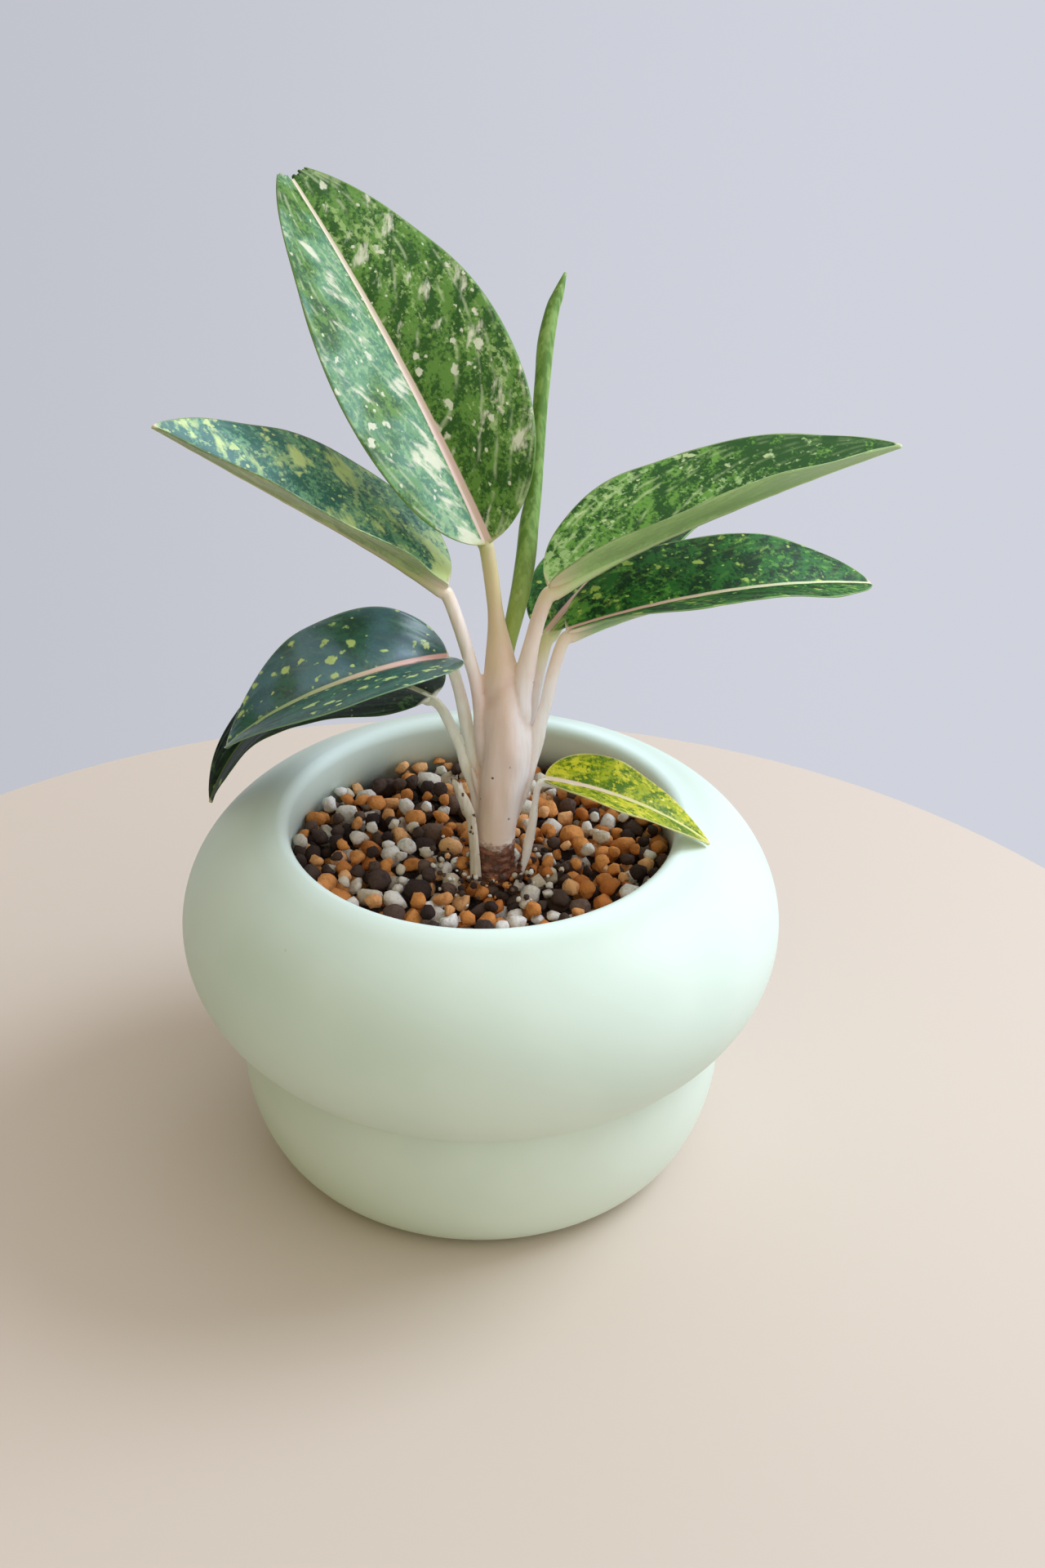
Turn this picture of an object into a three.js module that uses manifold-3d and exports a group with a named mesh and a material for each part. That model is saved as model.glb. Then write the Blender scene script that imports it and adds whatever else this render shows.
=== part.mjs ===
// Potted aglaonema: a young plant with eight open leaves and one rolled leaf, in a two-lobed pot.
// Millimetres, +Z up. The origin is the middle of the pot's flat base.
import * as THREE from 'three';
import { mergeVertices } from 'three/addons/utils/BufferGeometryUtils.js';
import Module from 'manifold-3d';

const wasm = await Module();
wasm.setup();

// Gap that stands for a touching joint between two pieces.
const GAP = 0.3;

// Pot: driving sizes of the outside. Each lobe is part of an ellipse turned round the pot's axis.
const POT_RADIUS = 70;
const UPPER_LOBE = { middleRadius: 39.6, middleHeight: 61.2, above: 27.2, below: 27.6 };
const LOWER_LOBE = { middleRadius: 43.5, radius: 57.8, height: 59 };
const CREASE_HEIGHT = 38.6;
const RIM_ROUNDING = 2.6;
const OPENING_RADIUS = 44.4;

// Pot: the cavity, which follows the outside at a wall of about 6 to 8 mm under a thicker neck.
const FLOOR_THICKNESS = 7;
const UPPER_CAVITY = { middleHeight: 57, radius: 62, halfHeight: 16 };
const LOWER_CAVITY = { middleRadius: 40, radius: 51, height: 42 };
const UPPER_CAVITY_END = -52;
const LOWER_CAVITY_START = 20;
const POT_SEGMENTS = 40;
const ARC_STEPS = { lower: 7, under: 4, over: 6, rim: 3, upperCavity: 5, lowerCavity: 4 };

// Substrate: the level of the mix between its granules, and the granules of its top layer.
const SOIL_LEVEL = 76.2;
const GRANULE = {
  spacing: 7.4, shaken: 1.6, smallest: 2.7, largest: 3.7, highest: 0.3, lowest: 0.1,
  narrowest: 0.75, flattest: 0.7, seed: 41,
};

// Stem: height, middle in x and y, and radius of each ring, from the buried foot to the top.
const STEM_RINGS = [
  [64, 2.4, -9.4, 2.6],
  [70, 2.7, -9.0, 3.9],
  [76, 3.0, -8.4, 4.8],
  [79, 3.1, -8.0, 4.6],
  [82, 3.1, -7.7, 4.4],
  [86, 3.25, -7.1, 4.4],
  [91, 3.8, -6.3, 4.2],
  [94, 4.5, -5.3, 3.4],
  [97, 5.0, -4.6, 2.2],
];
const STEM_SIDES = 16;

// Blade: thickness of the leaf and height of the midrib under it, at the middle and at the tip.
const BLADE_THICKNESS = 0.7;
const MIDRIB_WIDTH = 1.1;
const MIDRIB_MIDDLE = 0.7;
const MIDRIB_TIP = 0.1;
// Shares of the blade's length within which the stalk's width and depth fade out, and from which
// the tip's own shape begins.
const STALK_FADE = 0.12;
const RIB_FADE = 0.5;
const TIP_SHARE = 0.8;
const ROWS = [0, 0.025, 0.07, 0.13, 0.21, 0.3, 0.4, 0.51, 0.62, 0.73, 0.83, 0.91, 0.965, 1];
const ACROSS = [-1, -0.66, -0.32, -0.08, 0, 0.08, 0.32, 0.66, 1];

// Leaves, from the innermost stalks of the column out. Lengths in millimetres, angles in degrees:
// heading is the compass of the midrib (0 is +X, 90 is +Y) at the base and at the tip, and rise
// is its slope there. fold lifts each half from flat, roll turns the blade about its midrib, bow
// bends the halves down at the margin, and wave is the margin's undulation. The stalk runs from its
// foot inside the stem past its knee to the blade. Its radius goes over from that of its sheath to
// that of the bare stalk within the shares of its length that flare names.
const LEAVES = [
  {
    name: 'left_mid',
    base: [-7.1, -2.7, 146.9], length: 72.3, heading: [179, 198], rise: [31, 36],
    halfWidth: 20.4, fullness: [0.45, 0.83], roll: [-4.6, 9.5], fold: [28.3, 29.9], bow: 0.075,
    wave: 0.03, waves: 2, notch: 0, end: 1,
    foot: [4.2, -5.8, 89], knee: [2.0, -3.0, 118], neck: 1, radius: [3.8, 1.5], flare: [0.15, 0.45],
    green: 0x3f6b47,
  },
  {
    name: 'right_upper',
    base: [14.1, -3.6, 147.4], length: 86.4, heading: [15.9, 22.9], rise: [20.5, 8.6],
    halfWidth: 20.1, fullness: [0.53, 0.82], roll: [7.6, 8.2], fold: [37.4, 29.6], bow: 0.053,
    wave: 0.03, waves: 2, notch: 0, end: 1,
    foot: [4.4, -6.0, 87], knee: [7.9, -3.6, 122.4], neck: 2.7, radius: [3.2, 1.7], flare: [0.2, 0.64],
    green: 0x5f8f48,
  },
  {
    name: 'upright',
    base: [1.2, 1.4, 155], length: 94.6, heading: [128.3, 137.4], rise: [49.4, 42.7],
    halfWidth: 24.7, fullness: [0.53, 0.68], roll: [18.5, -5.3], fold: [30, 19.2], bow: 0.067,
    wave: 0.02, waves: 2, notch: 0.012, end: 0.972,
    foot: [4.8, -6.6, 88], knee: [6.6, -4.4, 120.6], neck: 0.8, radius: [4.4, 1.68], flare: [0.32, 0.62],
    green: 0x4f7a3c,
  },
  {
    name: 'right_lower',
    base: [18.5, -1.4, 135.7], length: 78, heading: [15, 29], rise: [13, -16],
    halfWidth: 17.8, fullness: [0.55, 0.73], roll: [5.5, -12.5], fold: [29, 22], bow: 0.09,
    wave: 0.04, waves: 2, notch: 0, end: 1,
    foot: [6.9, -5.6, 87], knee: [13.4, -5.0, 110.7], neck: 3, radius: [1.5, 1.4], flare: [0.2, 0.6],
    green: 0x2c5a2c,
  },
  {
    name: 'right_back',
    base: [14.2, 4.6, 132.1], length: 76.9, heading: [56.9, 56], rise: [19.7, -12],
    halfWidth: 15, fullness: [0.52, 0.81], roll: [11, 3.9], fold: [18.9, 12.9], bow: 0.126,
    wave: 0.03, waves: 2, notch: 0, end: 1,
    foot: [6.2, -1.2, 95], knee: [11.6, 0.8, 119.8], neck: 2, radius: [2.2, 1.5], flare: [0.2, 0.6],
    green: 0x2a5038,
  },
  {
    name: 'left_lower',
    base: [-7, -0.5, 128.7], length: 57.6, heading: [222.6, 168.9], rise: [16.8, -47.1],
    halfWidth: 16.7, fullness: [0.49, 0.66], roll: [15.9, 4.7], fold: [32.4, 21.3], bow: 0.095,
    wave: 0.03, waves: 1.5, notch: 0, end: 1,
    foot: [1.3, -4.0, 91], knee: [-3.4, -3.4, 111], neck: 2.5, radius: [1.2, 1.35], flare: [0.2, 0.6],
    green: 0x2f5a4c,
  },
  {
    name: 'left_under',
    base: [-11.2, 4.2, 116.2], length: 72.8, heading: [138.3, 206.8], rise: [6.6, -69.2],
    halfWidth: 18, fullness: [0.54, 0.97], roll: [8.7, -1.4], fold: [3.4, 22.8], bow: 0.14,
    wave: 0.03, waves: 2, notch: 0, end: 1,
    foot: [2.5, -7.6, 76], knee: [-0.5, -5.6, 97.7], neck: 5.9, radius: [1.6, 1.2], flare: [0.2, 0.6],
    green: 0x24452c,
  },
  {
    name: 'small',
    base: [14, -8.6, 102.4], length: 41.5, heading: [-6, -2], rise: [-5, -39],
    halfWidth: 10, fullness: [0.55, 0.88], roll: [-8, 2], fold: [30, 10], bow: 0.1,
    wave: 0.03, waves: 1.5, notch: 0, end: 1,
    foot: [6.2, -9.4, 70], knee: [13.6, -9.6, 89], neck: 3, radius: [1.2, 0.95], flare: [0.2, 0.6],
    green: 0x9aa636,
  },
];
// Inside the stem a stalk starts at a share of its radius, and is full within a share of its length.
const ROOT_SHARE = 0.5;
const ROOT_REACH = 0.3;
const PETIOLE_STEPS = 9;
const PETIOLE_SIDES = 10;

// Rolled leaf: it leans back as it rises. Middle and radius of each ring, from its foot to its tip.
const SPIKE_RINGS = [
  [4.8, -0.6, 120, 1.4],
  [5.3, 0.9, 128.7, 1.65],
  [6.9, 3.8, 135.4, 1.85],
  [8.5, 7.1, 141.8, 2.1],
  [9.6, 10.7, 148.1, 2.15],
  [10.3, 14.4, 154.2, 2.05],
  [11.4, 17.9, 160.5, 1.65],
  [12.0, 21.3, 166.8, 1.5],
  [12.6, 26.0, 176.4, 1.6],
  [13.2, 29.0, 182.8, 1.7],
  [13.8, 32.1, 189.2, 1.8],
  [15.2, 35.5, 195.4, 1.5],
  [16.5, 37.3, 198.5, 1.2],
  [18.1, 39.4, 202.6, 0.3],
];
const SPIKE_SIDES = 12;
const SPIKE_LAP = 0.16;

// Dry sheath: a shallow trough that stands beside the stem. Middle and half width of each ring.
const DRY_SHEATH_RINGS = [
  [-0.5, -10.6, 71, 1.5],
  [-0.8, -10.2, 78, 1.45],
  [-1.2, -9.7, 85, 1.25],
  [-1.9, -9.0, 92, 1.3],
  [-2.9, -8.7, 96, 1.7],
  [-5.3, -8.2, 102, 1.35],
];
const DRY_SHEATH_THICKNESS = 0.8;
const DRY_SHEATH_CURL = 50;
const DRY_SHEATH_TURN = 245;
const DRY_SHEATH_BULGE = 1.3;
const DRY_SHEATH_INNER = 0.15;

const COLOURS = {
  pot: 0xd2e6d6, substrate: 0xa8703c, stem: 0xe6d2c0, petiole: 0xe4d3ae, rolledLeaf: 0x5d7738,
};
const ROUGHNESS = { plant: 0.45, pot: 0.75, substrate: 0.9 };

const radians = THREE.MathUtils.degToRad;
const mix = (pair, t) => pair[0] + (pair[1] - pair[0]) * t;
const vector = (list) => new THREE.Vector3(list[0], list[1], list[2]);

// Random numbers that come out the same each time.
function seededRandom(seed) {
  let state = seed;
  return () => {
    state = (state * 16807) % 2147483647;
    return state / 2147483647;
  };
}

// Triangles that fill a ring from side to side: they go back and forth between its two halves.
function ringTriangles(count) {
  const triangles = [];
  let i = 0;
  let j = count - 1;
  while (j - i > 1) {
    triangles.push([i, i + 1, j]);
    i += 1;
    if (j - i > 1) {
      triangles.push([i, j - 1, j]);
      j -= 1;
    }
  }
  return triangles;
}

// Closed body from rings of points: rings are joined in order, and each end is filled.
function bodyFromRings(rings) {
  const count = rings[0].length;
  const positions = [];
  const index = [];
  for (const ring of rings) {
    for (const point of ring) {
      positions.push(point.x, point.y, point.z);
    }
  }
  for (let r = 0; r < rings.length - 1; r += 1) {
    for (let i = 0; i < count; i += 1) {
      const j = (i + 1) % count;
      const a = r * count + i;
      const b = r * count + j;
      index.push(a, b, b + count, a, b + count, a + count);
    }
  }
  const last = (rings.length - 1) * count;
  for (const [a, b, c] of ringTriangles(count)) {
    index.push(a, c, b);
    index.push(last + a, last + b, last + c);
  }
  const geometry = new THREE.BufferGeometry();
  geometry.setAttribute('position', new THREE.Float32BufferAttribute(positions, 3));
  geometry.setIndex(index);
  return geometry;
}

function toSolid(geometry) {
  const bare = geometry.clone();
  bare.deleteAttribute('normal');
  bare.deleteAttribute('uv');
  const merged = mergeVertices(bare, 1e-5);
  return new wasm.Manifold(new wasm.Mesh({
    numProp: 3,
    vertProperties: new Float32Array(merged.attributes.position.array),
    triVerts: new Uint32Array(merged.index.array),
  }));
}

// The largest body of a solid, so that a loose scrap of a cut is dropped.
function largestBody(solid) {
  return solid.decompose().reduce((best, body) => (body.volume() > best.volume() ? body : best));
}

function toGeometry(solid) {
  const mesh = solid.getMesh();
  const geometry = new THREE.BufferGeometry();
  geometry.setAttribute('position', new THREE.BufferAttribute(mesh.vertProperties, 3));
  geometry.setIndex(new THREE.BufferAttribute(mesh.triVerts, 1));
  return geometry;
}

// Directions of a line of points, each from the point before to the point after.
function directions(points) {
  return points.map((point, i) => {
    const before = points[Math.max(i - 1, 0)];
    const after = points[Math.min(i + 1, points.length - 1)];
    return after.clone().sub(before).normalize();
  });
}

// Rings round a curved line, with radii, held in planes square to its directions.
function tubeRings(points, tangents, radii, sides, outline = () => 1) {
  const rings = [];
  let side = new THREE.Vector3(1, 0, 0);
  points.forEach((point, i) => {
    const along = tangents[i];
    side = side.clone().addScaledVector(along, -side.dot(along)).normalize();
    const up = along.clone().cross(side);
    const ring = [];
    for (let k = 0; k < sides; k += 1) {
      const angle = (2 * Math.PI * k) / sides;
      const radius = radii[i] * outline(k / sides);
      ring.push(point.clone()
        .addScaledVector(side, radius * Math.cos(angle))
        .addScaledVector(up, radius * Math.sin(angle)));
    }
    rings.push(ring);
  });
  return rings;
}

// Points of an ellipse arc in the plane of radius and height.
function arc(middle, halfWidth, halfHeight, from, to, steps) {
  const points = [];
  for (let i = 0; i <= steps; i += 1) {
    const angle = radians(from + ((to - from) * i) / steps);
    points.push(new THREE.Vector2(
      middle[0] + halfWidth * Math.cos(angle),
      middle[1] + halfHeight * Math.sin(angle),
    ));
  }
  return points;
}

// Where the upper lobe goes over into the rim's rounding: its share and slope, in degrees.
const RIM_HALVINGS = 40;
function rimJoint(halfWidth) {
  let low = 0;
  let high = Math.PI / 2;
  let slope = 0;
  for (let i = 0; i < RIM_HALVINGS; i += 1) {
    const share = (low + high) / 2;
    slope = Math.atan2(Math.sin(share) / UPPER_LOBE.above, Math.cos(share) / halfWidth);
    const middle = UPPER_LOBE.middleRadius + halfWidth * Math.cos(share);
    if (middle - RIM_ROUNDING * Math.cos(slope) > OPENING_RADIUS + RIM_ROUNDING) {
      low = share;
    } else {
      high = share;
    }
  }
  return { share: THREE.MathUtils.radToDeg(low), slope: THREE.MathUtils.radToDeg(slope) };
}

function potOutside() {
  const upperHalfWidth = POT_RADIUS - UPPER_LOBE.middleRadius;
  const lowerHalfWidth = LOWER_LOBE.radius - LOWER_LOBE.middleRadius;
  const lowerHalf = LOWER_LOBE.height / 2;
  const creaseUpper = THREE.MathUtils.radToDeg(
    Math.asin((CREASE_HEIGHT - UPPER_LOBE.middleHeight) / UPPER_LOBE.below),
  );
  const creaseLower = THREE.MathUtils.radToDeg(Math.asin((CREASE_HEIGHT - lowerHalf) / lowerHalf));
  const joint = rimJoint(upperHalfWidth);
  const lowerCentre = [LOWER_LOBE.middleRadius, lowerHalf];
  const lower = arc(lowerCentre, lowerHalfWidth, lowerHalf, -90, creaseLower, ARC_STEPS.lower);
  const upperCentre = [UPPER_LOBE.middleRadius, UPPER_LOBE.middleHeight];
  const under = arc(upperCentre, upperHalfWidth, UPPER_LOBE.below, creaseUpper, 0, ARC_STEPS.under);
  const over = arc(upperCentre, upperHalfWidth, UPPER_LOBE.above, 0, joint.share, ARC_STEPS.over);
  const rimHeight = over[over.length - 1].y - RIM_ROUNDING * Math.sin(radians(joint.slope));
  const rimCentre = [OPENING_RADIUS + RIM_ROUNDING, rimHeight];
  const rim = arc(rimCentre, RIM_ROUNDING, RIM_ROUNDING, joint.slope, 180, ARC_STEPS.rim);
  return [new THREE.Vector2(0, 0), ...lower, ...under.slice(1), ...over.slice(1), ...rim.slice(1)];
}

// Cavity from the foot of the neck to the floor, drawn in by a clearance for what fills it.
function cavity(clearance) {
  const upper = arc(
    [OPENING_RADIUS, UPPER_CAVITY.middleHeight],
    UPPER_CAVITY.radius - OPENING_RADIUS - clearance,
    UPPER_CAVITY.halfHeight - clearance,
    90, UPPER_CAVITY_END, ARC_STEPS.upperCavity,
  );
  upper[0].x = OPENING_RADIUS - clearance;
  const lower = arc(
    [LOWER_CAVITY.middleRadius, FLOOR_THICKNESS + LOWER_CAVITY.height / 2],
    LOWER_CAVITY.radius - LOWER_CAVITY.middleRadius - clearance,
    LOWER_CAVITY.height / 2 - clearance,
    LOWER_CAVITY_START, -90, ARC_STEPS.lowerCavity,
  );
  const floor = FLOOR_THICKNESS + clearance;
  return [...upper, ...lower, new THREE.Vector2(0, floor)];
}

// LatheGeometry turns its profile about Y, so the body is stood up to have +Z as its axis.
function turned(profile) {
  const geometry = new THREE.LatheGeometry(profile, POT_SEGMENTS);
  geometry.rotateX(Math.PI / 2);
  return geometry;
}

function potSolid() {
  return toSolid(turned([...potOutside(), ...cavity(0)]));
}

// Direction, side and upper face of a leaf's midrib at the share t of its length.
function leafAxes(leaf, t) {
  const heading = radians(mix(leaf.heading, t));
  const rise = radians(mix(leaf.rise, t));
  const roll = radians(mix(leaf.roll, t));
  const along = new THREE.Vector3(
    Math.cos(rise) * Math.cos(heading),
    Math.cos(rise) * Math.sin(heading),
    Math.sin(rise),
  );
  const level = new THREE.Vector3(Math.sin(heading), -Math.cos(heading), 0);
  const upright = level.clone().cross(along);
  const side = level.clone().multiplyScalar(Math.cos(roll)).addScaledVector(upright, Math.sin(roll));
  const up = upright.multiplyScalar(Math.cos(roll)).addScaledVector(level, -Math.sin(roll));
  return { along, side, up };
}

// The midrib is walked in short steps, each in the direction that holds there.
const MIDRIB_STEPS = 60;
function midribPoint(leaf, t) {
  const point = vector(leaf.base);
  const whole = t * MIDRIB_STEPS;
  for (let i = 0; i < whole; i += 1) {
    const step = Math.min(1, whole - i);
    const { along } = leafAxes(leaf, (i + step / 2) / MIDRIB_STEPS);
    point.addScaledVector(along, (leaf.length * step) / MIDRIB_STEPS);
  }
  return point;
}

// Half width of the blade, never narrower than the stalk that it starts from or a fine tip.
const TIP_HALF_WIDTH = 0.45;
function bladeHalfWidth(leaf, t) {
  const [a, b] = leaf.fullness;
  const peak = (a / (a + b)) ** a * (b / (a + b)) ** b;
  const open = (leaf.halfWidth * t ** a * (1 - t) ** b) / peak;
  const stalk = leaf.radius[1] * Math.max(0, 1 - t / STALK_FADE);
  return Math.hypot(open, stalk, TIP_HALF_WIDTH);
}

// Height of the rib under the midrib: the stalk's depth at the base, then fine.
function midribDepth(leaf, t) {
  const stalk = 2 * leaf.radius[1] - BLADE_THICKNESS;
  const fine = MIDRIB_MIDDLE + (MIDRIB_TIP - MIDRIB_MIDDLE) * t;
  return fine + (stalk - fine) * Math.max(0, 1 - t / RIB_FADE) ** 3;
}

// Point on the upper face of a blade. t runs from base to tip, s from -1 to 1 across.
function bladePoint(leaf, t, s) {
  const reach = Math.abs(s);
  const tipShare = THREE.MathUtils.smoothstep(t, TIP_SHARE, 1);
  const place = t * leaf.end * (1 - leaf.notch * (1 - reach) ** 2 * tipShare);
  const { side, up } = leafAxes(leaf, place);
  const half = bladeHalfWidth(leaf, place);
  const fold = radians(mix(leaf.fold, place));
  const wave = leaf.wave * Math.sin(2 * Math.PI * leaf.waves * place + s) * Math.sin(Math.PI * place);
  const lift = reach * Math.sin(fold) - (leaf.bow - wave) * reach * reach;
  return midribPoint(leaf, place)
    .addScaledVector(side, s * half * Math.cos(fold))
    .addScaledVector(up, half * lift);
}

function bladeSolid(leaf) {
  const rings = ROWS.map((t) => {
    const place = t * leaf.end;
    const { up } = leafAxes(leaf, place);
    const half = bladeHalfWidth(leaf, place);
    const upper = ACROSS.map((s) => bladePoint(leaf, t, s));
    const lower = ACROSS.map((s, i) => {
      const rib = midribDepth(leaf, place) * Math.exp(-(((s * half) / MIDRIB_WIDTH) ** 2));
      return upper[i].clone().addScaledVector(up, -(BLADE_THICKNESS + rib));
    });
    return [...upper, ...lower.reverse()];
  });
  return toSolid(bodyFromRings(rings));
}

// Stalk of a leaf: a curve from inside the stem to the blade, grown by a clearance on request.
function petioleSolid(leaf, clearance) {
  const { radius, foot, knee, neck, flare } = leaf;
  const { along, up } = leafAxes(leaf, 0);
  const top = vector(leaf.base).addScaledVector(up, -radius[1]).addScaledVector(along, -GAP);
  const curve = new THREE.CubicBezierCurve3(
    vector(foot),
    vector(knee),
    top.clone().addScaledVector(along, -neck),
    top,
  );
  const points = [];
  const tangents = [];
  const radii = [];
  for (let i = 0; i <= PETIOLE_STEPS; i += 1) {
    const t = i / PETIOLE_STEPS;
    points.push(curve.getPoint(t));
    tangents.push(curve.getTangent(t));
    const whole = mix(radius, THREE.MathUtils.smoothstep(t, flare[0], flare[1]));
    const rooted = mix([ROOT_SHARE, 1], THREE.MathUtils.smoothstep(t, 0, ROOT_REACH));
    radii.push(whole * rooted + clearance);
  }
  points[0].addScaledVector(tangents[0], -clearance);
  points[PETIOLE_STEPS].addScaledVector(along, clearance);
  return toSolid(bodyFromRings(tubeRings(points, tangents, radii, PETIOLE_SIDES)));
}

function stemSolid(clearance) {
  const points = STEM_RINGS.map((ring) => new THREE.Vector3(ring[1], ring[2], ring[0]));
  points[0].z -= clearance;
  points[points.length - 1].z += clearance;
  const radii = STEM_RINGS.map((ring) => ring[3] + clearance);
  return toSolid(bodyFromRings(tubeRings(points, directions(points), radii, STEM_SIDES)));
}

// The rolled leaf's outline steps out where its margin laps over itself.
function rolledLeafSolid(clearance) {
  const points = SPIKE_RINGS.map((ring) => vector(ring));
  points[0].z -= clearance;
  const radii = SPIKE_RINGS.map((ring) => ring[3] + clearance);
  const outline = (turn) => 1 + SPIKE_LAP * (turn - 0.5);
  return toSolid(bodyFromRings(tubeRings(points, directions(points), radii, SPIKE_SIDES, outline)));
}

function drySheathSolid(clearance) {
  const turns = [-1, -0.5, 0, 0.5, 1];
  const rings = DRY_SHEATH_RINGS.map(([x, y, z, half]) => {
    const outer = [];
    const inner = [];
    for (const turn of turns) {
      const angle = radians(DRY_SHEATH_TURN + DRY_SHEATH_CURL * turn);
      const far = (half + clearance) * DRY_SHEATH_BULGE;
      const near = Math.max(half - DRY_SHEATH_THICKNESS, DRY_SHEATH_INNER) - clearance;
      outer.push(new THREE.Vector3(x + far * Math.cos(angle), y + far * Math.sin(angle), z));
      inner.push(new THREE.Vector3(x + near * Math.cos(angle), y + near * Math.sin(angle), z));
    }
    return [...outer, ...inner.reverse()];
  });
  return toSolid(bodyFromRings(rings));
}

// Top layer: squashed pebbles on a shaken grid, each sunk into the mix below it.
function granules() {
  const random = seededRandom(GRANULE.seed);
  const rowHeight = GRANULE.spacing * Math.sqrt(3) / 2;
  const rows = Math.ceil(OPENING_RADIUS / rowHeight);
  const solids = [];
  for (let row = -rows; row <= rows; row += 1) {
    for (let column = -rows; column <= rows; column += 1) {
      const x = (column + (row % 2) / 2) * GRANULE.spacing + (random() - 0.5) * GRANULE.shaken;
      const y = row * rowHeight + (random() - 0.5) * GRANULE.shaken;
      const size = mix([GRANULE.smallest, GRANULE.largest], random());
      const turn = new THREE.Euler(random() * 6, random() * 6, random() * 6);
      const width = mix([GRANULE.narrowest, 1], random());
      const squash = new THREE.Vector3(1, width, mix([GRANULE.flattest, 1], random()));
      if (Math.hypot(x, y) < OPENING_RADIUS - GAP - size) {
        const pebble = new THREE.IcosahedronGeometry(size, 0);
        pebble.scale(squash.x, squash.y, squash.z);
        pebble.applyMatrix4(new THREE.Matrix4().makeRotationFromEuler(turn));
        pebble.translate(x, y, SOIL_LEVEL + size * mix([GRANULE.highest, GRANULE.lowest], random()));
        solids.push(toSolid(pebble));
      }
    }
  }
  return solids;
}

// The mix fills the cavity. What grows out of it stands in plain holes.
function substrateSolid(standing) {
  const side = OPENING_RADIUS - GAP;
  const top = [new THREE.Vector2(0, SOIL_LEVEL), new THREE.Vector2(side, SOIL_LEVEL)];
  const profile = [...top, ...cavity(GAP)].reverse();
  const filled = wasm.Manifold.union([toSolid(turned(profile)), ...granules()]);
  return largestBody(standing.reduce((solid, piece) => solid.subtract(piece), filled));
}

const plant = new THREE.Group();

function addPiece(name, solid, colour, roughness) {
  const material = new THREE.MeshStandardMaterial({ color: colour, roughness, metalness: 0 });
  const mesh = new THREE.Mesh(toGeometry(solid), material);
  mesh.name = name;
  plant.add(mesh);
}

addPiece('pot', potSolid(), COLOURS.pot, ROUGHNESS.pot);

// The plant is put together from the stem and its outermost stalk inwards. Each piece is cut back
// where it would enter one that was made before it.
const grown = [];

function addGrown(name, makeSolid, colour) {
  const cut = grown.reduce((solid, piece) => solid.subtract(piece), makeSolid(0));
  addPiece(name, largestBody(cut), colour, ROUGHNESS.plant);
  grown.push(makeSolid(GAP));
}

addGrown('stem', stemSolid, COLOURS.stem);
for (const leaf of LEAVES.toReversed()) {
  addGrown(`petiole_${leaf.name}`, (clearance) => petioleSolid(leaf, clearance), COLOURS.petiole);
  addPiece(`blade_${leaf.name}`, bladeSolid(leaf), leaf.green, ROUGHNESS.plant);
}
addGrown('rolled_leaf', rolledLeafSolid, COLOURS.rolledLeaf);
addGrown('old_sheath', drySheathSolid, COLOURS.petiole);
addPiece('substrate', substrateSolid(grown), COLOURS.substrate, ROUGHNESS.substrate);

export default plant;
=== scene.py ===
"""Potted aglaonema: the looks of the plant, its pot and its granule mix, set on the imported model.

Lengths are in millimetres, and each mesh is scaled to metres where it is made. The frame's origin is
the middle of the pot's flat base, +Z is up and the camera stands on the -Y side. Colours are in sRGB
from 0 to 255, but those of the lights and of the wall are linear, from 0 to 1.
"""

import math
import random
from dataclasses import dataclass
from statistics import NormalDist

import bmesh
import bpy
import numpy as np
from mathutils import Matrix, Vector, noise


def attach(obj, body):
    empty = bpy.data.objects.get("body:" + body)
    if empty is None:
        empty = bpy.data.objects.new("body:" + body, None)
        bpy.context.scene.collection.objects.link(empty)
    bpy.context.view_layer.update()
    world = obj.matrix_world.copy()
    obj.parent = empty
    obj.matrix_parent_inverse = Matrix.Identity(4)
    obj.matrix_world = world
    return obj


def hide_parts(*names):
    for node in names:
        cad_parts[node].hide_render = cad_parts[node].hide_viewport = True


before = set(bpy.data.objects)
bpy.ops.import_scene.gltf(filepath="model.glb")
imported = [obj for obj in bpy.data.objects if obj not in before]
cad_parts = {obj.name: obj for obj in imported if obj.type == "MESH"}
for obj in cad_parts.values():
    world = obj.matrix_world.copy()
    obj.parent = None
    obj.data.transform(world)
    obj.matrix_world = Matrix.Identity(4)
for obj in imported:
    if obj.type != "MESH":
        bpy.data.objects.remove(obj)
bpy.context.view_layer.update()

MM = 0.001

# Camera: a 50 mm lens on a 36 mm sensor, in millimetres and degrees.
CAMERA_PLACE = (0.0, -427.1, 350.7)
CAMERA_DOWN = 30.83
CAMERA_TURN = -1.25
CAMERA_ROLL = 0.76
LENS = 50
SENSOR = 36

# Studio: a round floor, and the light of the room from broad directions. The plain wall is what the
# camera sees behind the object, from its left to its right, and what lights it from below the horizon.
# Its colour turns, and the room sets in above it, between two values of a direction's x and z.
STAGE_RADIUS = 222
STAGE_MIDDLE = (-11, -20.6)
STAGE_DEPTH = 18
STAGE_SEGMENTS = 128
ROOM_LIGHTS = [
    ((1, 0, 0.35), (0.47, 0.48, 0.57)),
    ((0.75, -0.65, 0.35), (0.47, 0.48, 0.53)),
    ((0, -1, 0.35), (0.22, 0.205, 0.12)),
    ((-0.7, -0.7, 0.35), (0.12, 0.10, 0.01)),
    ((-1, 0, 0.3), (0.02, 0.015, 0.0)),
    ((0, 1, 0.3), (0.44, 0.45, 0.52)),
    ((0, 0, 1), (0.57, 0.55, 0.54)),
    ((0.75, 0.65, 0.35), (0.134, 0.09, 0.093)),
]
ROOM_SPREAD = (0.3, 0.95)
WALL_LINEAR = ((0.53, 0.54, 0.60, 1), (0.63, 0.65, 0.72, 1))
WALL_SIDES = (-0.3, 0.2)
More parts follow.
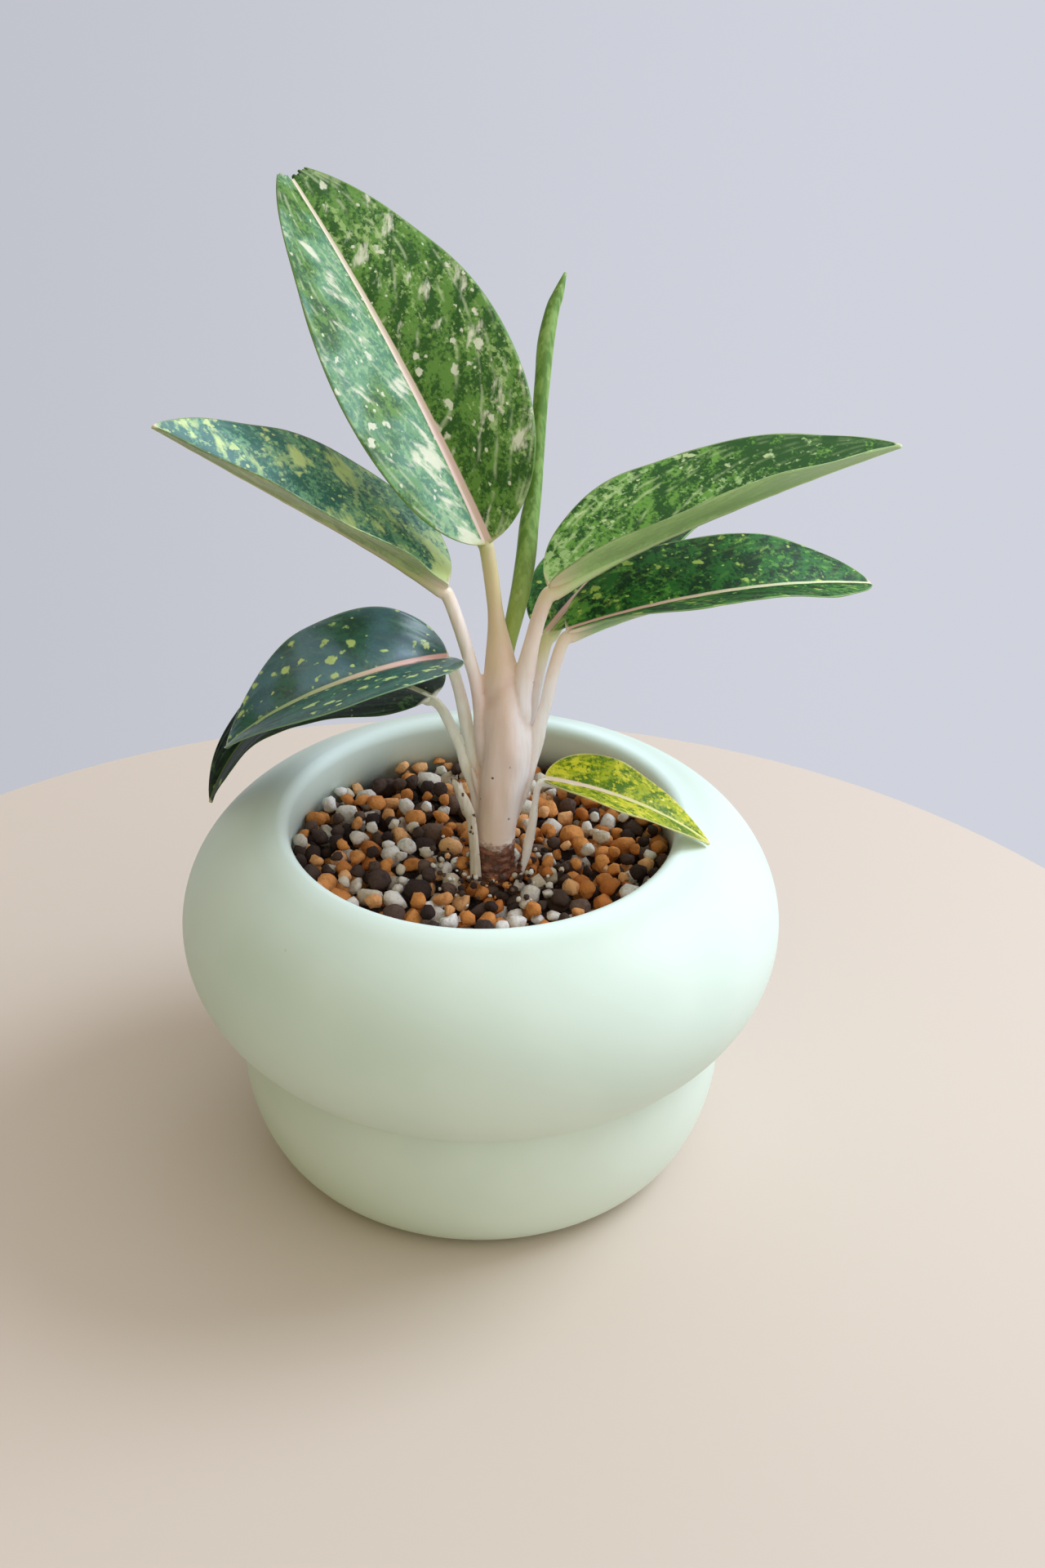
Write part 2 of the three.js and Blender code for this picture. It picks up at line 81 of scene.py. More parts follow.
HORIZON = (-0.1, 0.0)
WINDOW_PLACE = (668, 179, 696)
WINDOW_TARGET = (0, 0, 50)
WINDOW_SIZE = 520
WINDOW_POWER = 7.1
WINDOW_TINT = (0.69, 0.806, 1.0)

# Pot: the sizes that the imported pot was made from, with finer steps. The arcs of the cavity end and
# start at angles in degrees. Painted light makes the neck paler, from the larger to the smaller of two
# radii.
POT_RADIUS = 70
UPPER_LOBE = {"middle_radius": 39.6, "middle_height": 61.2, "above": 27.2, "below": 27.6}
LOWER_LOBE = {"middle_radius": 43.5, "radius": 57.8, "height": 59}
CREASE_HEIGHT = 38.6
RIM_ROUNDING = 2.6
RIM_HALVINGS = 40
OPENING_RADIUS = 44.4
FLOOR_THICKNESS = 7
UPPER_CAVITY = {"middle_height": 57, "radius": 62, "half_height": 16, "end": -52}
LOWER_CAVITY = {"middle_radius": 40, "radius": 51, "height": 42, "start": 20}
FOOT_RING = 20
LIT_NECK_RADII = (53, 46)
POT_SEGMENTS = 160
ARC_STEPS = {"lower": 40, "under": 24, "over": 30, "rim": 14, "upper_cavity": 14, "lower_cavity": 12}

# Granule mix: its gap to the pot, its uneven body and the loose granules on it, which rest a little
# closer than their radii, stay near the top level and keep clear of the stem. Crumbs lie round it.
CLEARANCE = 0.3
BED_LEVEL = 72.5
BED_RINGS = 24
BED_SEGMENTS = 96
BED_RELIEF = 1.6
BED_RELIEF_SCALE = 0.35
TOP_LEVEL = 80.6
GRANULE_RADII = (1.5, 3.6)
GRANULE_COUNT = 950
GRANULE_TRIES = 26
GRANULE_NEARNESS = 0.88
GRANULE_SWELL = 1.06
CRUMB_COUNT = 150
CRUMB_RADII = (0.45, 1.15)
CRUMB_NEAREST = 4.6
CRUMB_SPREAD = 12
CRUMB_SHARES = (0.1, 0.35, 0.55)
PEBBLE_FACETS = 9
STEM_MIDDLE = (2.9, -8.2)
STEM_CLEARANCE = 4.4
GRANULE_KINDS = {
    "clay": {
        "share": 0.47, "chunky": 0.9, "roughness": 0.85,
        "tints": [(186, 112, 52), (220, 148, 80), (238, 184, 128)], "marks": (164, 96, 46),
    },
    "pumice": {
        "share": 0.24, "chunky": 0.9, "roughness": 0.9,
        "tints": [(206, 192, 166), (226, 220, 208), (240, 238, 232)], "marks": (170, 156, 134),
    },
    "dark": {
        "share": 0.29, "chunky": 0.6, "roughness": 0.95,
        "tints": [(52, 40, 36), (78, 62, 54), (112, 90, 76)], "marks": (40, 30, 28),
    },
}

# Blades: thickness, midrib and margin. The stalk's width and depth fade out within shares of the
# blade's length, and the tip's own shape begins at one. Points are closer together at the midrib.
BLADE_THICKNESS = 0.55
MIDRIB_WIDTH = 1.1
MIDRIB_MIDDLE = 0.7
MIDRIB_TIP = 0.1
MIDRIB_STEPS = 60
TIP_HALF_WIDTH = 0.3
TIP_SHARE = 0.8
BASE_PINCH = 0.6
STALK_FADE = 0.12
RIB_FADE = 0.5
SLIM_FADE = 0.22
BLADE_ROWS = 150
BLADE_COLUMNS = 61
COLUMN_CROWDING = 1.15

# Relief of a blade. A vein leaves the midrib and bends along the margin: at the share s across the
# half blade it has run VEIN_LEAN * s + VEIN_BEND * s ** 3 of the blade's length towards the tip. It
# lies in a furrow as wide as a share of the way to the next one. The midrib lies in a channel.
VEIN_LEAN = 0.34
VEIN_BEND = 0.4
VEIN_DEPTH = 0.06
FURROW_SHARE = 0.13
CHANNEL_DEPTH = 0.4
CHANNEL_WIDTH = 1.2
FLUTTER = 0.12

# Markings are drawn from UV maps: this many millimetres or veins make one unit. The grain of their
# streaks leaves the midrib at an angle. Spots lie in the cells of two patterns: these are the cells
# to a unit, and the largest radius of a spot in cells.
UV_LENGTH = 100
UV_VEINS = 10
GRAIN_TURN = math.radians(38)
SPOT_CELLS = (32, 70)
SPOT_SIZES = (0.46, 0.44)

# Skin of the stem and stalks: size of the remesh, rounds of its smoothing, and heights between which
# its lumps, its creases with their painted shade, the painted light on its right side, its brown foot
# and its specks of the mix set in or fade out. The foot has fine rings, and lies within a distance of
# the stem's middle.
VOXEL = 0.42
SMOOTHING = 0.5
SMOOTHING_BACK = -1.04
SMOOTHING_ROUNDS = 5
TUBE_SIDES = 24
LUMPS_IN = (88, 96)
LUMPS_OUT = (132, 116)
CREASES_IN = (86, 92)
LIT_SIDE_OUT = (132, 118)
FOOT_OUT = (90.5, 82.5)
SPECKS_OUT = (116, 96)
LUMP_HEIGHT = 0.5
LUMP_SCALES = (0.3, 0.3, 0.13)
CREASE_DEPTH = 0.2
CREASE_SHADE = 0.12
CREASE_SHADE_TINT = (0.6, 1.0, 1.3)
LIT_SIDE_SHARE = 0.85
FOOT_REACH = (7.5, 6.0)
FOOT_RING_HEIGHT = 0.1
FOOT_RING_SPACING = 1.9
FOOT_LUMP_HEIGHT = 0.4
FOOT_LUMP_SCALES = (0.7, 0.7, 1.1)
CHUNK = 4000

# Inside the stem a stalk starts at a share of its radius, and is full within a share of its length.
# It runs on under the blade, between two shares of the blade's length. Its colours hold at shares of
# the whole line: at its foot, at half its length, at the blade and under the blade.
ROOT_SHARE = 0.5
ROOT_REACH = 0.3
STALK_STEPS = 40
UNDER_STEPS = 16
UNDER_SHARES = (0.012, 0.2)
TINT_SHARES = (0.2, 0.5, 0.7, 0.82)


@dataclass
class Leaf:
    """One leaf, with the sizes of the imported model. Pairs hold at the blade's base and at its tip,
    where fullness is the exponent of its outline.

    Angles are in degrees: heading is the compass of the midrib (0 is +X, 90 is +Y), rise its slope,
    roll the blade's turn about it, and fold the lift of each half. Bow bends the halves down at the
    margin, wave is the margin's undulation, notch draws the middle of the tip in, end is where the
    blade is cut short, and slim narrows its left half at the base. The stalk runs from its foot past
    its knee to the blade, with stalk as its colours at the foot, at half its length and at the blade.
    Its radius goes over from that of its sheath to that of the bare stalk within the shares of flare.
    """

    name: str
    look: str
    veins: int
    base: tuple
    length: float
    heading: tuple
    rise: tuple
    half_width: float
    fullness: tuple
    roll: tuple
    fold: tuple
    bow: float
    foot: tuple
    knee: tuple
    neck: float
    radius: tuple
    stalk: tuple
    flare: tuple = (0.2, 0.6)
    wave: float = 0.03
    waves: float = 2
    notch: float = 0
    end: float = 1
    slim: float = 0


LEAVES = [
    Leaf(
        "left_mid", "mid", veins=7, base=(-7.1, -2.7, 146.9), length=72.3,
        heading=(179, 198), rise=(31, 36), half_width=20.4, fullness=(0.45, 0.83),
        roll=(-4.6, 9.5), fold=(28.3, 29.9), bow=0.075, slim=0.6,
        foot=(4.2, -5.8, 89), knee=(2.0, -3.0, 118), neck=1, radius=(3.8, 1.5), flare=(0.15, 0.45),
        stalk=((250, 234, 224), (255, 240, 228), (244, 226, 202)),
    ),
    Leaf(
        "right_upper", "pale", veins=8, base=(14.1, -3.6, 147.4), length=86.4,
        heading=(15.9, 22.9), rise=(20.5, 8.6), half_width=20.1, fullness=(0.53, 0.82),
        roll=(7.6, 8.2), fold=(37.4, 29.6), bow=0.053,
        foot=(4.4, -6.0, 87), knee=(7.9, -3.6, 122.4), neck=2.7, radius=(3.2, 1.7), flare=(0.2, 0.64),
        stalk=((248, 234, 226), (244, 226, 208), (224, 208, 168)),
    ),
    Leaf(
        "upright", "bright", veins=7, base=(1.2, 1.4, 155), length=94.6,
        heading=(128.3, 137.4), rise=(49.4, 42.7), half_width=24.7, fullness=(0.53, 0.68),
        roll=(18.5, -5.3), fold=(30, 19.2), bow=0.067, wave=0.02, notch=0.012, end=0.972,
        foot=(4.8, -6.6, 88), knee=(6.6, -4.4, 120.6), neck=0.8, radius=(4.4, 1.68),
        flare=(0.32, 0.62), stalk=((232, 206, 180), (212, 196, 146), (196, 192, 136)),
    ),
    Leaf(
        "right_lower", "dark", veins=8, base=(18.5, -1.4, 135.7), length=78,
        heading=(15, 29), rise=(13, -16), half_width=17.8, fullness=(0.55, 0.73),
        roll=(5.5, -12.5), fold=(29, 22), bow=0.09, wave=0.04,
        foot=(6.9, -5.6, 87), knee=(13.4, -5.0, 110.7), neck=3, radius=(1.5, 1.4),
        stalk=((252, 238, 228), (252, 236, 220), (242, 222, 196)),
    ),
    Leaf(
        "right_back", "dark", veins=7, base=(14.2, 4.6, 132.1), length=76.9,
        heading=(56.9, 56), rise=(19.7, -12), half_width=15, fullness=(0.52, 0.81),
        roll=(11, 3.9), fold=(18.9, 12.9), bow=0.126,
        foot=(6.2, -1.2, 95), knee=(11.6, 0.8, 119.8), neck=2, radius=(2.2, 1.5),
        stalk=((246, 238, 220), (238, 234, 192), (220, 222, 164)),
    ),
    Leaf(
        "left_lower", "blue", veins=6, base=(-7, -0.5, 128.7), length=57.6,
        heading=(222.6, 168.9), rise=(16.8, -47.1), half_width=16.7, fullness=(0.49, 0.66),
        roll=(15.9, 4.7), fold=(32.4, 21.3), bow=0.095, waves=1.5,
        foot=(1.3, -4.0, 91), knee=(-3.4, -3.4, 111), neck=2.5, radius=(1.2, 1.35),
        stalk=((248, 246, 232), (250, 248, 232), (246, 246, 218)),
    ),
    Leaf(
        "left_under", "shadowed", veins=7, base=(-11.2, 4.2, 116.2), length=72.8,
        heading=(138.3, 206.8), rise=(6.6, -69.2), half_width=18, fullness=(0.54, 0.97),
        roll=(8.7, -1.4), fold=(3.4, 22.8), bow=0.14,
        foot=(2.5, -7.6, 76), knee=(-0.5, -5.6, 97.7), neck=5.9, radius=(1.6, 1.2),
        stalk=((250, 246, 232), (252, 252, 238), (248, 248, 222)),
    ),
    Leaf(
        "small", "yellow", veins=6, base=(14, -8.6, 102.4), length=41.5,
        heading=(-6, -2), rise=(-5, -39), half_width=10, fullness=(0.55, 0.88),
        roll=(-8, 2), fold=(30, 10), bow=0.1, waves=1.5,
        foot=(6.2, -9.4, 70), knee=(13.6, -9.6, 89), neck=3, radius=(1.2, 0.95),
        stalk=((238, 230, 208), (238, 232, 206), (228, 222, 180)),
    ),
]


@dataclass
class Look:
    """Colours and markings of one kind of leaf.

    The greens are its dark and middle green, its speckles and its cream marks. Rib is the colour of
    the midrib at the base and at the tip, and rib_width half its width there in millimetres. Cover is
    the share of the blade under light speckles and under cream blotches, then the share of the cells
    that hold a round spot or a tiny dot. Vein is how strongly the veins show, shade how much darker
    the blade gets towards its tip, and sheen the upper face's roughness and gloss. Veil is the share
    of the underside's own colour in it. Its painted reflection is a bluish tint for the room mirrored
    on the right (1) or left (-1) half, as colour, half and share.
    """

    greens: tuple
    rib: tuple
    margin: tuple
    under: tuple
    cover: tuple
    vein: float
    sheen: tuple
    slot: str
    rib_width: tuple = (1.2, 0.4)
    shade: float = 0.0
    veil: float = 0.7
    painted_reflection: tuple = ()


LOOKS = {
    "bright": Look(
        greens=((42, 82, 24), (92, 132, 52), (152, 178, 106), (214, 212, 182)),
        rib=((224, 196, 182), (220, 206, 180)), rib_width=(1.45, 0.5), margin=(116, 144, 76),
        under=(186, 206, 140), cover=(0.34, 0.28, 0.12, 0.06), vein=0.5, sheen=(0.45, 0.2),
        painted_reflection=((114, 166, 142), -1, 0.42), slot="blade_pale",
    ),
    "pale": Look(
        greens=((38, 82, 26), (104, 152, 60), (168, 198, 126), (198, 214, 152)),
        rib=((214, 204, 170), (206, 205, 160)), margin=(168, 188, 124), under=(196, 226, 146),
        cover=(0.38, 0.12, 0.04, 0.03), vein=0.6, shade=0.9, sheen=(0.45, 0.25), veil=0.62,
        slot="blade_pale",
    ),
    "mid": Look(
        greens=((58, 106, 92), (116, 166, 124), (180, 208, 136), (208, 224, 148)),
        rib=((222, 196, 176), (206, 200, 160)), margin=(134, 152, 96), under=(200, 206, 132),
        cover=(0.52, 0.48, 0.14, 0.10), vein=0.3, shade=0.5, sheen=(0.45, 0.3), veil=0.5,
        painted_reflection=((112, 158, 156), 1, 0.2), slot="blade_mid",
    ),
    "dark": Look(
        greens=((18, 56, 20), (44, 106, 38), (96, 156, 58), (182, 208, 96)),
        rib=((232, 188, 172), (214, 216, 170)), rib_width=(1.15, 0.4), margin=(150, 176, 112),
        under=(150, 184, 124), cover=(0.32, 0.13, 0.10, 0.08), vein=0.15, sheen=(0.5, 0.18),
        slot="blade_dark",
    ),
    "blue": Look(
        greens=((30, 74, 62), (46, 100, 80), (92, 142, 92), (204, 226, 134)),
        rib=((232, 184, 172), (170, 190, 134)), rib_width=(1.2, 0.45), margin=(124, 160, 110),
        under=(66, 98, 56), cover=(0.12, 0.02, 0.42, 0.08), vein=0.1, sheen=(0.34, 0.8),
        painted_reflection=((112, 150, 176), 1, 0.45), slot="blade_dark",
    ),
    # Painted shade: a darker copy of the blue look, for the blade that lies in the shadow of left_lower.
    "shadowed": Look(
        greens=((12, 30, 20), (24, 48, 28), (64, 100, 44), (150, 176, 90)),
        rib=((150, 150, 110), (90, 110, 60)), rib_width=(0.9, 0.35), margin=(60, 84, 44),
        under=(52, 82, 40), cover=(0.10, 0.02, 0.08, 0.04), vein=0.1, sheen=(0.45, 0.2),
        slot="blade_dark",
    ),
    "yellow": Look(
        greens=((78, 114, 4), (162, 174, 16), (216, 210, 50), (236, 224, 108)),
        rib=((236, 216, 196), (216, 214, 130)), rib_width=(1.0, 0.4), margin=(230, 224, 158),
        under=(186, 190, 90), cover=(0.46, 0.14, 0.0, 0.08), vein=0.2, sheen=(0.45, 0.22),
        slot="blade_yellow",
    ),
}

# Stem: height, middle in x and y, and radius of each ring, from the buried foot to the top. Painted
# light makes the sheaths on its right side, towards the window, paler than the rest of it.
STEM_RINGS = [
    (64, 2.4, -9.4, 2.6),
    (70, 2.7, -9.0, 3.9),
    (76, 3.0, -8.4, 4.8),
    (79, 3.1, -8.0, 4.6),
    (82, 3.1, -7.7, 4.4),
    (86, 3.25, -7.1, 4.4),
    (91, 3.55, -6.5, 4.6),
    (97, 4.3, -5.8, 5.0),
    (103.5, 5.3, -5.1, 5.6),
    (110, 5.6, -4.6, 5.6),
    (116, 5.0, -4.2, 5.0),
    (121, 5.1, -3.8, 4.0),
    (125, 5.3, -3.5, 2.4),
]
STEM_COLOUR = (240, 216, 200)
LIT_SIDE = (255, 248, 246)

# Free tips of the sheaths: foot and end of each, with the radii there.
SHEATH_TIPS = [
    ((4.2, -2.6, 119), (4.4, -1.0, 133.6), (2.6, 0.35)),
    ((7.2, -3.4, 113), (8.2, -1.6, 124.6), (2.2, 0.4)),
    ((0.6, -5.2, 113), (-1.6, -3.6, 123.4), (1.2, 0.3)),
    ((8.6, -5.4, 101), (11.4, -3.4, 111.2), (1.5, 0.3)),
    ((0.8, -6.4, 93), (-2.4, -5.0, 103.2), (1.4, 0.3)),
]

# Rolled leaf: middle and radius of each ring, from its foot to its tip. Its outline steps out by a
# share of the radius where the margin laps over.
SPIKE_RINGS = [
    (4.8, -0.6, 120, 1.4),
    (5.3, 0.9, 128.7, 1.65),
    (6.9, 3.8, 135.4, 1.85),
    (8.5, 7.1, 141.8, 2.1),
    (9.6, 10.7, 148.1, 2.15),
    (10.3, 14.4, 154.2, 2.05),
    (11.4, 17.9, 160.5, 1.65),
    (12.0, 21.3, 166.8, 1.5),
    (12.6, 26.0, 176.4, 1.6),
    (13.2, 29.0, 182.8, 1.7),
    (13.8, 32.1, 189.2, 1.8),
    (15.2, 35.5, 195.4, 1.5),
    (16.5, 37.3, 198.5, 1.2),
    (18.1, 39.4, 202.6, 0.3),
]
SPIKE_LAP = 0.16
SPIKE_SIDES = 40
LAP_EDGE = (0.93, 0.96)

# Dry sheath: a shallow trough beside the stem, as the middle and half width of each ring, with half
# the angle of its curl and the direction of its middle in degrees. It is ragged near its top.
DRY_SHEATH_RINGS = [
    (-0.5, -10.6, 71, 1.5),
    (-0.8, -10.2, 78, 1.45),
    (-1.2, -9.7, 85, 1.25),
    (-1.9, -9.0, 92, 1.3),
    (-2.9, -8.7, 96, 1.7),
    (-5.3, -8.2, 102, 1.35),
]
DRY_SHEATH_CURL = 50
DRY_SHEATH_TURN = 245
DRY_SHEATH_BULGE = 1.3
DRY_SHEATH_THICKNESS = 0.45
DRY_SHEATH_COLUMNS = 15
RAGGED_LENGTH = 6
RAGGED_DEPTH = 0.8


def mix(pair, t):
    return pair[0] + (pair[1] - pair[0]) * t


def smoothstep(value, low, high):
    t = np.clip((value - low) / (high - low), 0, 1)
    return t * t * (3 - 2 * t)


def colour(red, green, blue):
    """Linear RGBA of an sRGB colour given from 0 to 255."""
    linear = []
    for part in (red, green, blue):
        c = part / 255
        linear.append(c / 12.92 if c <= 0.04045 else ((c + 0.055) / 1.055) ** 2.4)
    return (*linear, 1.0)


class Nodes:
    """A node tree. Inputs are numbers, vectors, sockets of other nodes, and colours.

    A colour of three values is in sRGB from 0 to 255, and one of four is linear.
    """

    def __init__(self, tree):
        self.tree = tree

    def put(self, socket, value):
        if isinstance(value, bpy.types.NodeSocket):
            self.tree.links.new(value, socket)
        elif socket.type == "RGBA" and len(value) == 3:
            socket.default_value = colour(*value)
        else:
            socket.default_value = value

    def node(self, kind, inputs, **properties):
        made = self.tree.nodes.new(kind)
        for name, value in properties.items():
            setattr(made, name, value)
        for name, value in inputs.items():
            self.put(made.inputs[name], value)
        return made

    def math(self, operation, first, second=0.0, third=0.0):
        terms = {0: first, 1: second, 2: third}
        return self.node("ShaderNodeMath", terms, operation=operation).outputs[0]

    def times(self, first, second):
        return self.math("MULTIPLY", first, second)

    def plus(self, first, second):
        return self.math("ADD", first, second)

    def line(self, value, slope, start):
        return self.math("MULTIPLY_ADD", value, slope, start)

    def vector_math(self, operation, first, second, result="Vector"):
        terms = {0: first, 1: second}
        return self.node("ShaderNodeVectorMath", terms, operation=operation).outputs[result]

    def parts(self, vector):
        return self.node("ShaderNodeSeparateXYZ", {0: vector}).outputs

    def band(self, value, low, high):
        """0 below low and 1 above high, or the other way round where low is the larger."""
        ends = {"Value": value, "From Min": low, "From Max": high}
        return self.node("ShaderNodeMapRange", ends, interpolation_type="SMOOTHSTEP").outputs[0]

    def blend(self, share, first, second):
        ends = {0: share, 6: first, 7: second}
        return self.node("ShaderNodeMix", ends, data_type="RGBA").outputs[2]

    def fade(self, value, low, high, first, second):
        """The first where the band is 0, and the second where it is 1."""
        return self.blend(self.band(value, low, high), first, second)

    def over(self, base, tint, share, strength):
        """The base with a tint over it, by a share of this strength."""
        return self.blend(self.times(share, strength), base, tint)

    def scaled(self, vector, scale, shift=(0, 0, 0)):
        return self.vector_math("ADD", self.vector_math("MULTIPLY", vector, scale), shift)

    def noise(self, vector, scale, detail=2.0, roughness=0.5):
        settings = {"Vector": vector, "Scale": scale, "Detail": detail, "Roughness": roughness}
        return self.node("ShaderNodeTexNoise", settings).outputs["Fac"]

    def streaks(self, vector, scale, shift=(0, 0, 0), detail=2.0, roughness=0.5):
        """Noise that is as fine along each axis as the scale says."""
        return self.noise(self.scaled(vector, scale, shift), 1.0, detail, roughness)

    def cells(self, vector, scale):
        return self.node("ShaderNodeTexVoronoi", {"Vector": vector, "Scale": scale}).outputs

    def uv(self, name):
        vector = self.node("ShaderNodeUVMap", {}, uv_map=name).outputs[0]
        first, second, _ = self.parts(vector)
        return vector, first, second

    def attribute(self, name, result="Fac"):
        return self.node("ShaderNodeAttribute", {}, attribute_name=name).outputs[result]

    def place(self, result="Object"):
        return self.node("ShaderNodeTexCoord", {}).outputs[result]


class Shader(Nodes):
    """A node material round one Principled shader."""

    def __init__(self, name, inputs):
        self.material = bpy.data.materials.new(name)
        self.material.use_nodes = True
        super().__init__(self.material.node_tree)
        self.surface = self.tree.nodes["Principled BSDF"]
        self.dress(inputs)

    def dress(self, inputs):
        for name, value in inputs.items():
            self.put(self.surface.inputs[name], value)

    def finished(self, tint, height, strength, distance):
        """The material, with its colour and with bumps that are a distance in metres high."""
        bumps = {"Height": height, "Strength": strength, "Distance": distance}
        self.dress({"Base Color": tint, "Normal": self.node("ShaderNodeBump", bumps).outputs[0]})
        return self.material


def add_object(name, data):
    made = bpy.data.objects.new(name, data)
    bpy.context.scene.collection.objects.link(made)
    return made


def add_smooth(name, mesh, materials):
    """A smooth object of a mesh."""
    for material in materials:
        mesh.materials.append(material)
    mesh.polygons.foreach_set("use_smooth", np.ones(len(mesh.polygons), bool))
    mesh.update()
    return add_object(name, mesh)


def add_piece(name, points, faces, materials):
    """A smooth object from points in millimetres and faces."""
    mesh = bpy.data.meshes.new(name)
    mesh.from_pydata(np.asarray(points, float) * MM, [], [tuple(face) for face in faces])
    return add_smooth(name, mesh, materials)


def read(items, name, width=1, kind=float):
    """The named values of a mesh's points, edges or corners, one row for each."""
    values = np.zeros(len(items) * width, kind)
    items.foreach_get(name, values)
    return values.reshape(-1, width)


def set_numbers(piece, name, values, kind="FLOAT", field="value"):
    """An attribute of the mesh with one value for each of its points."""
    attribute = piece.data.attributes.new(name, kind, "POINT")
    attribute.data.foreach_set(field, np.asarray(values, np.float32).ravel())


def settle(piece, nodes):
    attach(piece, "root")
    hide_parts(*nodes)


def ring_faces(rings, sides):
    """Quads of a tube of rings, and a fan over each of its ends."""
    faces = []
    for start in range(0, (rings - 1) * sides, sides):
        for i in range(sides):
            j = (i + 1) % sides
            faces.append((start + i, start + j, start + sides + j, start + sides + i))
    last = (rings - 1) * sides
    faces.append(tuple(range(sides - 1, -1, -1)))
    faces.append(tuple(range(last, last + sides)))
    return faces


def add_camera():
    pitch = math.radians(CAMERA_DOWN)
    turn = Matrix.Rotation(math.radians(CAMERA_TURN), 3, "Z")
    ahead = turn @ Vector((0, math.cos(pitch), -math.sin(pitch)))
    level = ahead.cross(Vector((0, 0, 1))).normalized()
    upright = level.cross(ahead)
    roll = math.radians(CAMERA_ROLL)
    right = level * math.cos(roll) + upright * math.sin(roll)
    up = upright * math.cos(roll) - level * math.sin(roll)
    data = bpy.data.cameras.new("camera")
    data.lens = LENS
    data.sensor_width = SENSOR
    camera = add_object("camera", data)
    axes = Matrix((right, up, -ahead)).transposed()
    camera.matrix_world = Matrix.Translation(Vector(CAMERA_PLACE) * MM) @ axes.to_4x4()
    bpy.context.scene.camera = camera


def add_window():
    """Broad light from a window high on the right."""
    data = bpy.data.lights.new("window", "AREA")
    data.shape = "DISK"
    data.size = WINDOW_SIZE * MM
    data.energy = WINDOW_POWER
    data.color = WINDOW_TINT
    window = add_object("window", data)
    window.location = Vector(WINDOW_PLACE) * MM
    window.rotation_mode = "QUATERNION"
    ahead = Vector(WINDOW_TARGET) - Vector(WINDOW_PLACE)
    window.rotation_quaternion = ahead.to_track_quat("-Z", "Y")


def add_room_light():
    """Soft light from broad directions. Below the horizon, and all that the camera sees, is the wall."""
    world = bpy.data.worlds.new("room")
    world.use_nodes = True
    nodes = Nodes(world.node_tree)
    direction = nodes.place("Generated")
    x, _, z = nodes.parts(direction)
    room = (0, 0, 0)
    for axis, tint in ROOM_LIGHTS:
        facing = nodes.vector_math("DOT_PRODUCT", direction, Vector(axis).normalized(), "Value")
        light = nodes.vector_math("MULTIPLY", tint, nodes.band(facing, *ROOM_SPREAD))
        room = nodes.vector_math("ADD", room, light)
    wall = nodes.fade(x, *WALL_SIDES, *WALL_LINEAR)
    room = nodes.fade(z, *HORIZON, wall, room)
    seen = nodes.node("ShaderNodeLightPath", {}).outputs["Is Camera Ray"]
    room = nodes.blend(seen, room, wall)
    nodes.put(world.node_tree.nodes["Background"].inputs["Color"], room)
    bpy.context.scene.world = world


def add_studio():
    """A round table-like floor before a plain wall colour, with soft light from the right."""
    bpy.context.scene.view_settings.view_transform = "Standard"
    add_room_light()
    shader = Shader("floor", {"Base Color": (210, 196, 179), "Roughness": 0.75})
    turns = np.linspace(0, 2 * math.pi, STAGE_SEGMENTS, endpoint=False)
    rim = np.stack([np.cos(turns), np.sin(turns), np.zeros(STAGE_SEGMENTS)], axis=1) * STAGE_RADIUS
    rim[:, :2] += STAGE_MIDDLE
    points = np.vstack([rim - (0, 0, STAGE_DEPTH), rim])
    floor = add_piece("floor", points, ring_faces(2, STAGE_SEGMENTS), [shader.material])
    floor.data.polygons.foreach_set("use_smooth", np.zeros(len(floor.data.polygons), bool))
    add_window()


def arc(middle, half_width, half_height, start, stop, steps):
    turns = np.radians(np.linspace(start, stop, steps + 1))
    return [
        (middle[0] + half_width * math.cos(a), middle[1] + half_height * math.sin(a)) for a in turns
    ]


def rim_joint(half_width):
    """Where the upper lobe goes over into the rim's rounding: its share and slope in degrees."""
    low, high = 0.0, math.pi / 2
    for _ in range(RIM_HALVINGS):
        share = (low + high) / 2
        slope = math.atan2(math.sin(share) / UPPER_LOBE["above"], math.cos(share) / half_width)
        middle = UPPER_LOBE["middle_radius"] + half_width * math.cos(share)
        if middle - RIM_ROUNDING * math.cos(slope) > OPENING_RADIUS + RIM_ROUNDING:
            low = share
        else:
            high = share
    return math.degrees(share), math.degrees(slope)


def pot_outside():
    """Profile of the pot's outside as radius and height, from the axis to the inner edge of the rim."""
    upper_half_width = POT_RADIUS - UPPER_LOBE["middle_radius"]
    lower_half_width = LOWER_LOBE["radius"] - LOWER_LOBE["middle_radius"]
    lower_half = LOWER_LOBE["height"] / 2
    crease_rise = (CREASE_HEIGHT - UPPER_LOBE["middle_height"]) / UPPER_LOBE["below"]
    crease_upper = math.degrees(math.asin(crease_rise))
    crease_lower = math.degrees(math.asin((CREASE_HEIGHT - lower_half) / lower_half))
    rim_share, rim_slope = rim_joint(upper_half_width)
    foot = (LOWER_LOBE["middle_radius"], lower_half)
    belly = (UPPER_LOBE["middle_radius"], UPPER_LOBE["middle_height"])
    steps = ARC_STEPS
    lower = arc(foot, lower_half_width, lower_half, -90, crease_lower, steps["lower"])
    under = arc(belly, upper_half_width, UPPER_LOBE["below"], crease_upper, 0, steps["under"])
    over = arc(belly, upper_half_width, UPPER_LOBE["above"], 0, rim_share, steps["over"])
    rim_height = over[-1][1] - RIM_ROUNDING * math.sin(math.radians(rim_slope))
    rim_middle = (OPENING_RADIUS + RIM_ROUNDING, rim_height)
    rim = arc(rim_middle, RIM_ROUNDING, RIM_ROUNDING, rim_slope, 180, steps["rim"])
    return [(0, 0), (FOOT_RING, 0), *lower, *under[1:], *over[1:], *rim[1:]]


